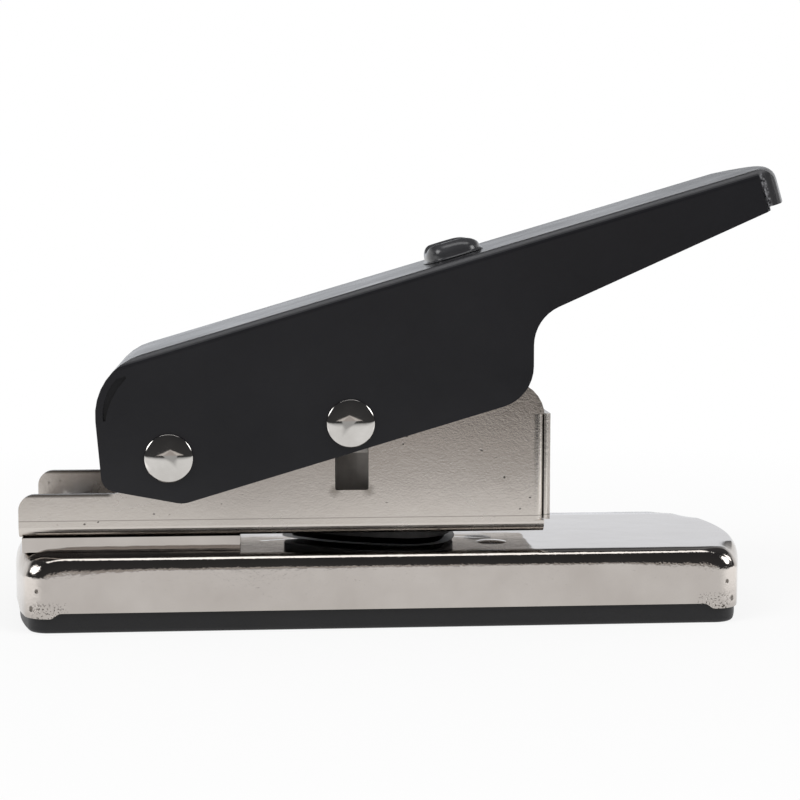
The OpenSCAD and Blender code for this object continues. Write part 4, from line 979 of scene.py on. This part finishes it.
# Floor: a pale paper sweep that keeps the punch's shadow and shows white to the camera. In the
# polished metal it is darker towards the camera, with a grey stand in front of the punch and
# brighter paper level with its ends.
floor_half = 6.0
paper_white = (0.9, 0.9, 0.9, 1)
shadow_keep, shadow_from, shadow_to = 0.84, 0.1, 0.28
table_dark, table_near, table_far = 0.05, -0.5, -0.18
stand_x, stand_y, stand_lean, stand_grey = -0.024, -0.11, 0.25, 0.5
stand_inside, stand_outside = -0.015, 0.01
ends_from, ends_to, ends_y, ends_light = 0.08, 0.11, -0.02, 0.6
ends_inside, ends_outside = 0.03, 0.06


def seen_directly(tree):
    """1 for camera, glossy and transmission rays, 0 for those that carry light."""
    path = tree.nodes.new("ShaderNodeLightPath")
    seen = path.outputs["Is Camera Ray"]
    for ray in ("Is Glossy Ray", "Is Transmission Ray"):
        either = tree.nodes.new("ShaderNodeMath")
        either.operation = "MAXIMUM"
        tree.links.new(seen, either.inputs[0])
        tree.links.new(path.outputs[ray], either.inputs[1])
        seen = either.outputs["Value"]
    return seen


def stage_mesh(name, points, faces, material):
    """Stage object from points and faces."""
    mesh = bpy.data.meshes.new(name)
    mesh.from_pydata(points, [], faces)
    mesh.materials.append(material)
    made = bpy.data.objects.new(name, mesh)
    bpy.context.scene.collection.objects.link(made)
    return made


paper = Finish("floor_paper")
paper.tree.nodes.remove(paper.shader)
across, ahead = paper.along("X"), paper.along("Y")
table_end = paper.spread(ahead, table_near, table_far, table_dark, 1)
stand_off = paper.size(paper.minus(across, stand_x))
stand_off = paper.plus(stand_off, paper.times(paper.minus(ahead, stand_y), stand_lean))
in_stand = paper.spread(stand_off, stand_inside, stand_outside, 1, 0)
open_table = paper.times(table_end, paper.minus(1, in_stand))
table = paper.plus(open_table, paper.times(in_stand, stand_grey))
past_ends = paper.spread(paper.size(across), ends_from, ends_to, 0, 1)
level_with = paper.spread(paper.size(paper.minus(ahead, ends_y)), ends_inside, ends_outside, 1, 0)
table = paper.plus(table, paper.times(paper.times(past_ends, level_with), ends_light))
by_camera = paper.node("LightPath").outputs["Is Camera Ray"]
mirrored = paper.times(table, paper.minus(1, by_camera))
glow = paper.node("Emission")
paper.feed(glow.inputs["Strength"], paper.plus(by_camera, mirrored))
matt = paper.node("BsdfDiffuse")
matt.inputs["Color"].default_value = paper_white
white_share = paper.spread(paper.vector("LENGTH", paper.place), shadow_from, shadow_to, shadow_keep, 1)
mix = paper.node("MixShader")
paper.feed(mix.inputs["Fac"], paper.times(seen_directly(paper.tree), white_share))
paper.feed(mix.inputs[1], matt.outputs["BSDF"])
paper.feed(mix.inputs[2], glow.outputs["Emission"])
paper.feed(paper.tree.nodes["Material Output"].inputs["Surface"], mix.outputs["Shader"])
floor_points = [(x * floor_half, y * floor_half, 0) for x, y in ((-1, -1), (1, -1), (1, 1), (-1, 1))]
stage_mesh("floor", floor_points, [(0, 1, 2, 3)], paper.material)

# Canopy: the studio that polished metal mirrors, and that nothing else sees. In front it is dark
# over a pale gable and a grey stand, at the sides and behind it is white near the floor, and it
# has a light strip overhead and two soft boxes low at the sides.
canopy_far = 2.5
canopy_sides, canopy_rings, canopy_foot = 64, 24, -1
gable_low, gable_high = (0.8, 0.76, 0.73), (0.72, 0.68, 0.65)
gable_slope, gable_edge = 0.44, (0.165, 0.195)
room_low, room_high = (0.055, 0.054, 0.055), (0.04, 0.04, 0.042)
stand_top_grey, stand_top_slope, stand_top_edge = (0.5, 0.46, 0.44), 0.75, (0.15, 0.175)
side_white, side_low, side_high = (1, 1, 1), (0.06, 0.06, 0.062), (0.05, 0.05, 0.052)
back_white, back_low, back_high = (0.93, 0.955, 1), (0.06, 0.06, 0.062), (0.045, 0.045, 0.047)
side_edge, side_turn = (0.22, 0.5), (0.1, 0.4)
back_edge, back_turn = (0.195, 0.25), (0.8, 0.93)
strip_light, strip_wide, strip_end = (2.2, 2.2, 2.2), (0.2, 0.23), (0.88, 0.91)
soft_box_light = (6, 6, 6)
soft_box_bearings, soft_box_up = (192, -12), math.radians(28)
soft_box_edge, soft_box_core = math.radians(17), math.radians(4)

drape = Finish("canopy_drape")
drape.tree.nodes.remove(drape.shader)
way = drape.vector("NORMALIZE", drape.place)
to_back, height = drape.along("Y", way), drape.along("Z", way)
off_middle = drape.size(drape.along("X", way))
gable = drape.plus(height, drape.times(off_middle, gable_slope))
sky = drape.tint(
    gable, (0, gable_low), (gable_edge[0], gable_high), (gable_edge[1], room_low), (1, room_high)
)
stand_top = drape.plus(height, drape.times(off_middle, stand_top_slope))
sky = drape.veil(drape.spread(stand_top, *stand_top_edge, 1, 0), sky, stand_top_grey)
for white, low, high, (edge, dark_from), turn in (
    (side_white, side_low, side_high, side_edge, side_turn),
    (back_white, back_low, back_high, back_edge, back_turn),
):
    wall = drape.tint(height, (0, white), (edge, white), (dark_from, low), (1, high))
    sky = drape.veil(drape.spread(to_back, *turn, 0, 1), sky, wall)
strip = drape.spread(drape.size(to_back), *strip_wide, 1, 0)
strip = drape.times(strip, drape.spread(height, *strip_end, 0, 1))
sky = drape.veil(strip, sky, strip_light)
for azimuth in soft_box_bearings:
    turn, level = math.radians(azimuth), math.cos(soft_box_up)
    aim = (level * math.cos(turn), level * math.sin(turn), math.sin(soft_box_up))
    toward = drape.vector("DOT_PRODUCT", way, aim)
    lit = drape.spread(toward, math.cos(soft_box_edge), math.cos(soft_box_core), 0, 1, "SMOOTHSTEP")
    sky = drape.veil(lit, sky, soft_box_light)
shine = drape.node("Emission")
drape.feed(shine.inputs["Color"], sky)
drape.feed(drape.tree.nodes["Material Output"].inputs["Surface"], shine.outputs["Emission"])
canopy_points, canopy_faces = [], []
for r in range(canopy_rings):
    up = math.radians(canopy_foot + 90 * r / canopy_rings)
    for k in range(canopy_sides):
        turn = 2 * math.pi * k / canopy_sides
        toward = Vector((math.cos(up) * math.cos(turn), math.cos(up) * math.sin(turn), math.sin(up)))
        canopy_points.append(canopy_far * toward)
for r in range(canopy_rings - 1):
    for k in range(canopy_sides):
        j = (k + 1) % canopy_sides
        low, high = r * canopy_sides, (r + 1) * canopy_sides
        canopy_faces.append((low + k, low + j, high + j, high + k))
canopy_faces.append(tuple(range((canopy_rings - 1) * canopy_sides, canopy_rings * canopy_sides)))
canopy = stage_mesh("canopy", canopy_points, canopy_faces, drape.material)
canopy.visible_camera = False
canopy.visible_diffuse = False
canopy.visible_transmission = False
canopy.visible_volume_scatter = False
canopy.visible_shadow = False

# Lights and camera: a white surround that gives most of the light, two soft boxes in front of the
# punch on either side, and a long lens at the photograph's place.
surround_light = 0.55
box_size, box_power = (0.5, 0.7), 4.0
box_far, box_up, box_aim = 1.1, math.radians(42), Vector((0, 0, 0.03))
camera_at = (-0.02527, -0.38007, 0.07838)
camera_down, camera_turn = 5.575, -4.471

scene = bpy.context.scene
scene.view_settings.view_transform = "Standard"
world = bpy.data.worlds.new("white_surround")
scene.world = world
world.use_nodes = True
tree = world.node_tree
fill = tree.nodes["Background"]
fill.inputs["Color"].default_value = (1, 1, 1, 1)
fill.inputs["Strength"].default_value = surround_light
white = tree.nodes.new("ShaderNodeBackground")
white.inputs["Color"].default_value = (1, 1, 1, 1)
mix = tree.nodes.new("ShaderNodeMixShader")
tree.links.new(seen_directly(tree), mix.inputs["Fac"])
tree.links.new(fill.outputs["Background"], mix.inputs[1])
tree.links.new(white.outputs["Background"], mix.inputs[2])
tree.links.new(mix.outputs["Shader"], tree.nodes["World Output"].inputs["Surface"])

for name, azimuth in (("left_box", 216), ("right_box", -36)):
    lamp = bpy.data.lights.new(name, "AREA")
    lamp.shape = "RECTANGLE"
    lamp.size, lamp.size_y = box_size
    lamp.energy = box_power
    box = bpy.data.objects.new(name, lamp)
    scene.collection.objects.link(box)
    turn, level = math.radians(azimuth), math.cos(box_up)
    toward = Vector((level * math.cos(turn), level * math.sin(turn), math.sin(box_up)))
    box.location = toward * box_far + box_aim
    box.rotation_euler = toward.to_track_quat("Z", "Y").to_euler()
    box.visible_camera = False
    box.visible_glossy = False

lens = bpy.data.cameras.new("camera")
lens.lens = 85.97
lens.sensor_width = 36
lens.clip_start = 0.01
camera = bpy.data.objects.new("camera", lens)
scene.collection.objects.link(camera)
camera.location = camera_at
camera.rotation_euler = (math.radians(90 - camera_down), 0, math.radians(camera_turn))
scene.camera = camera
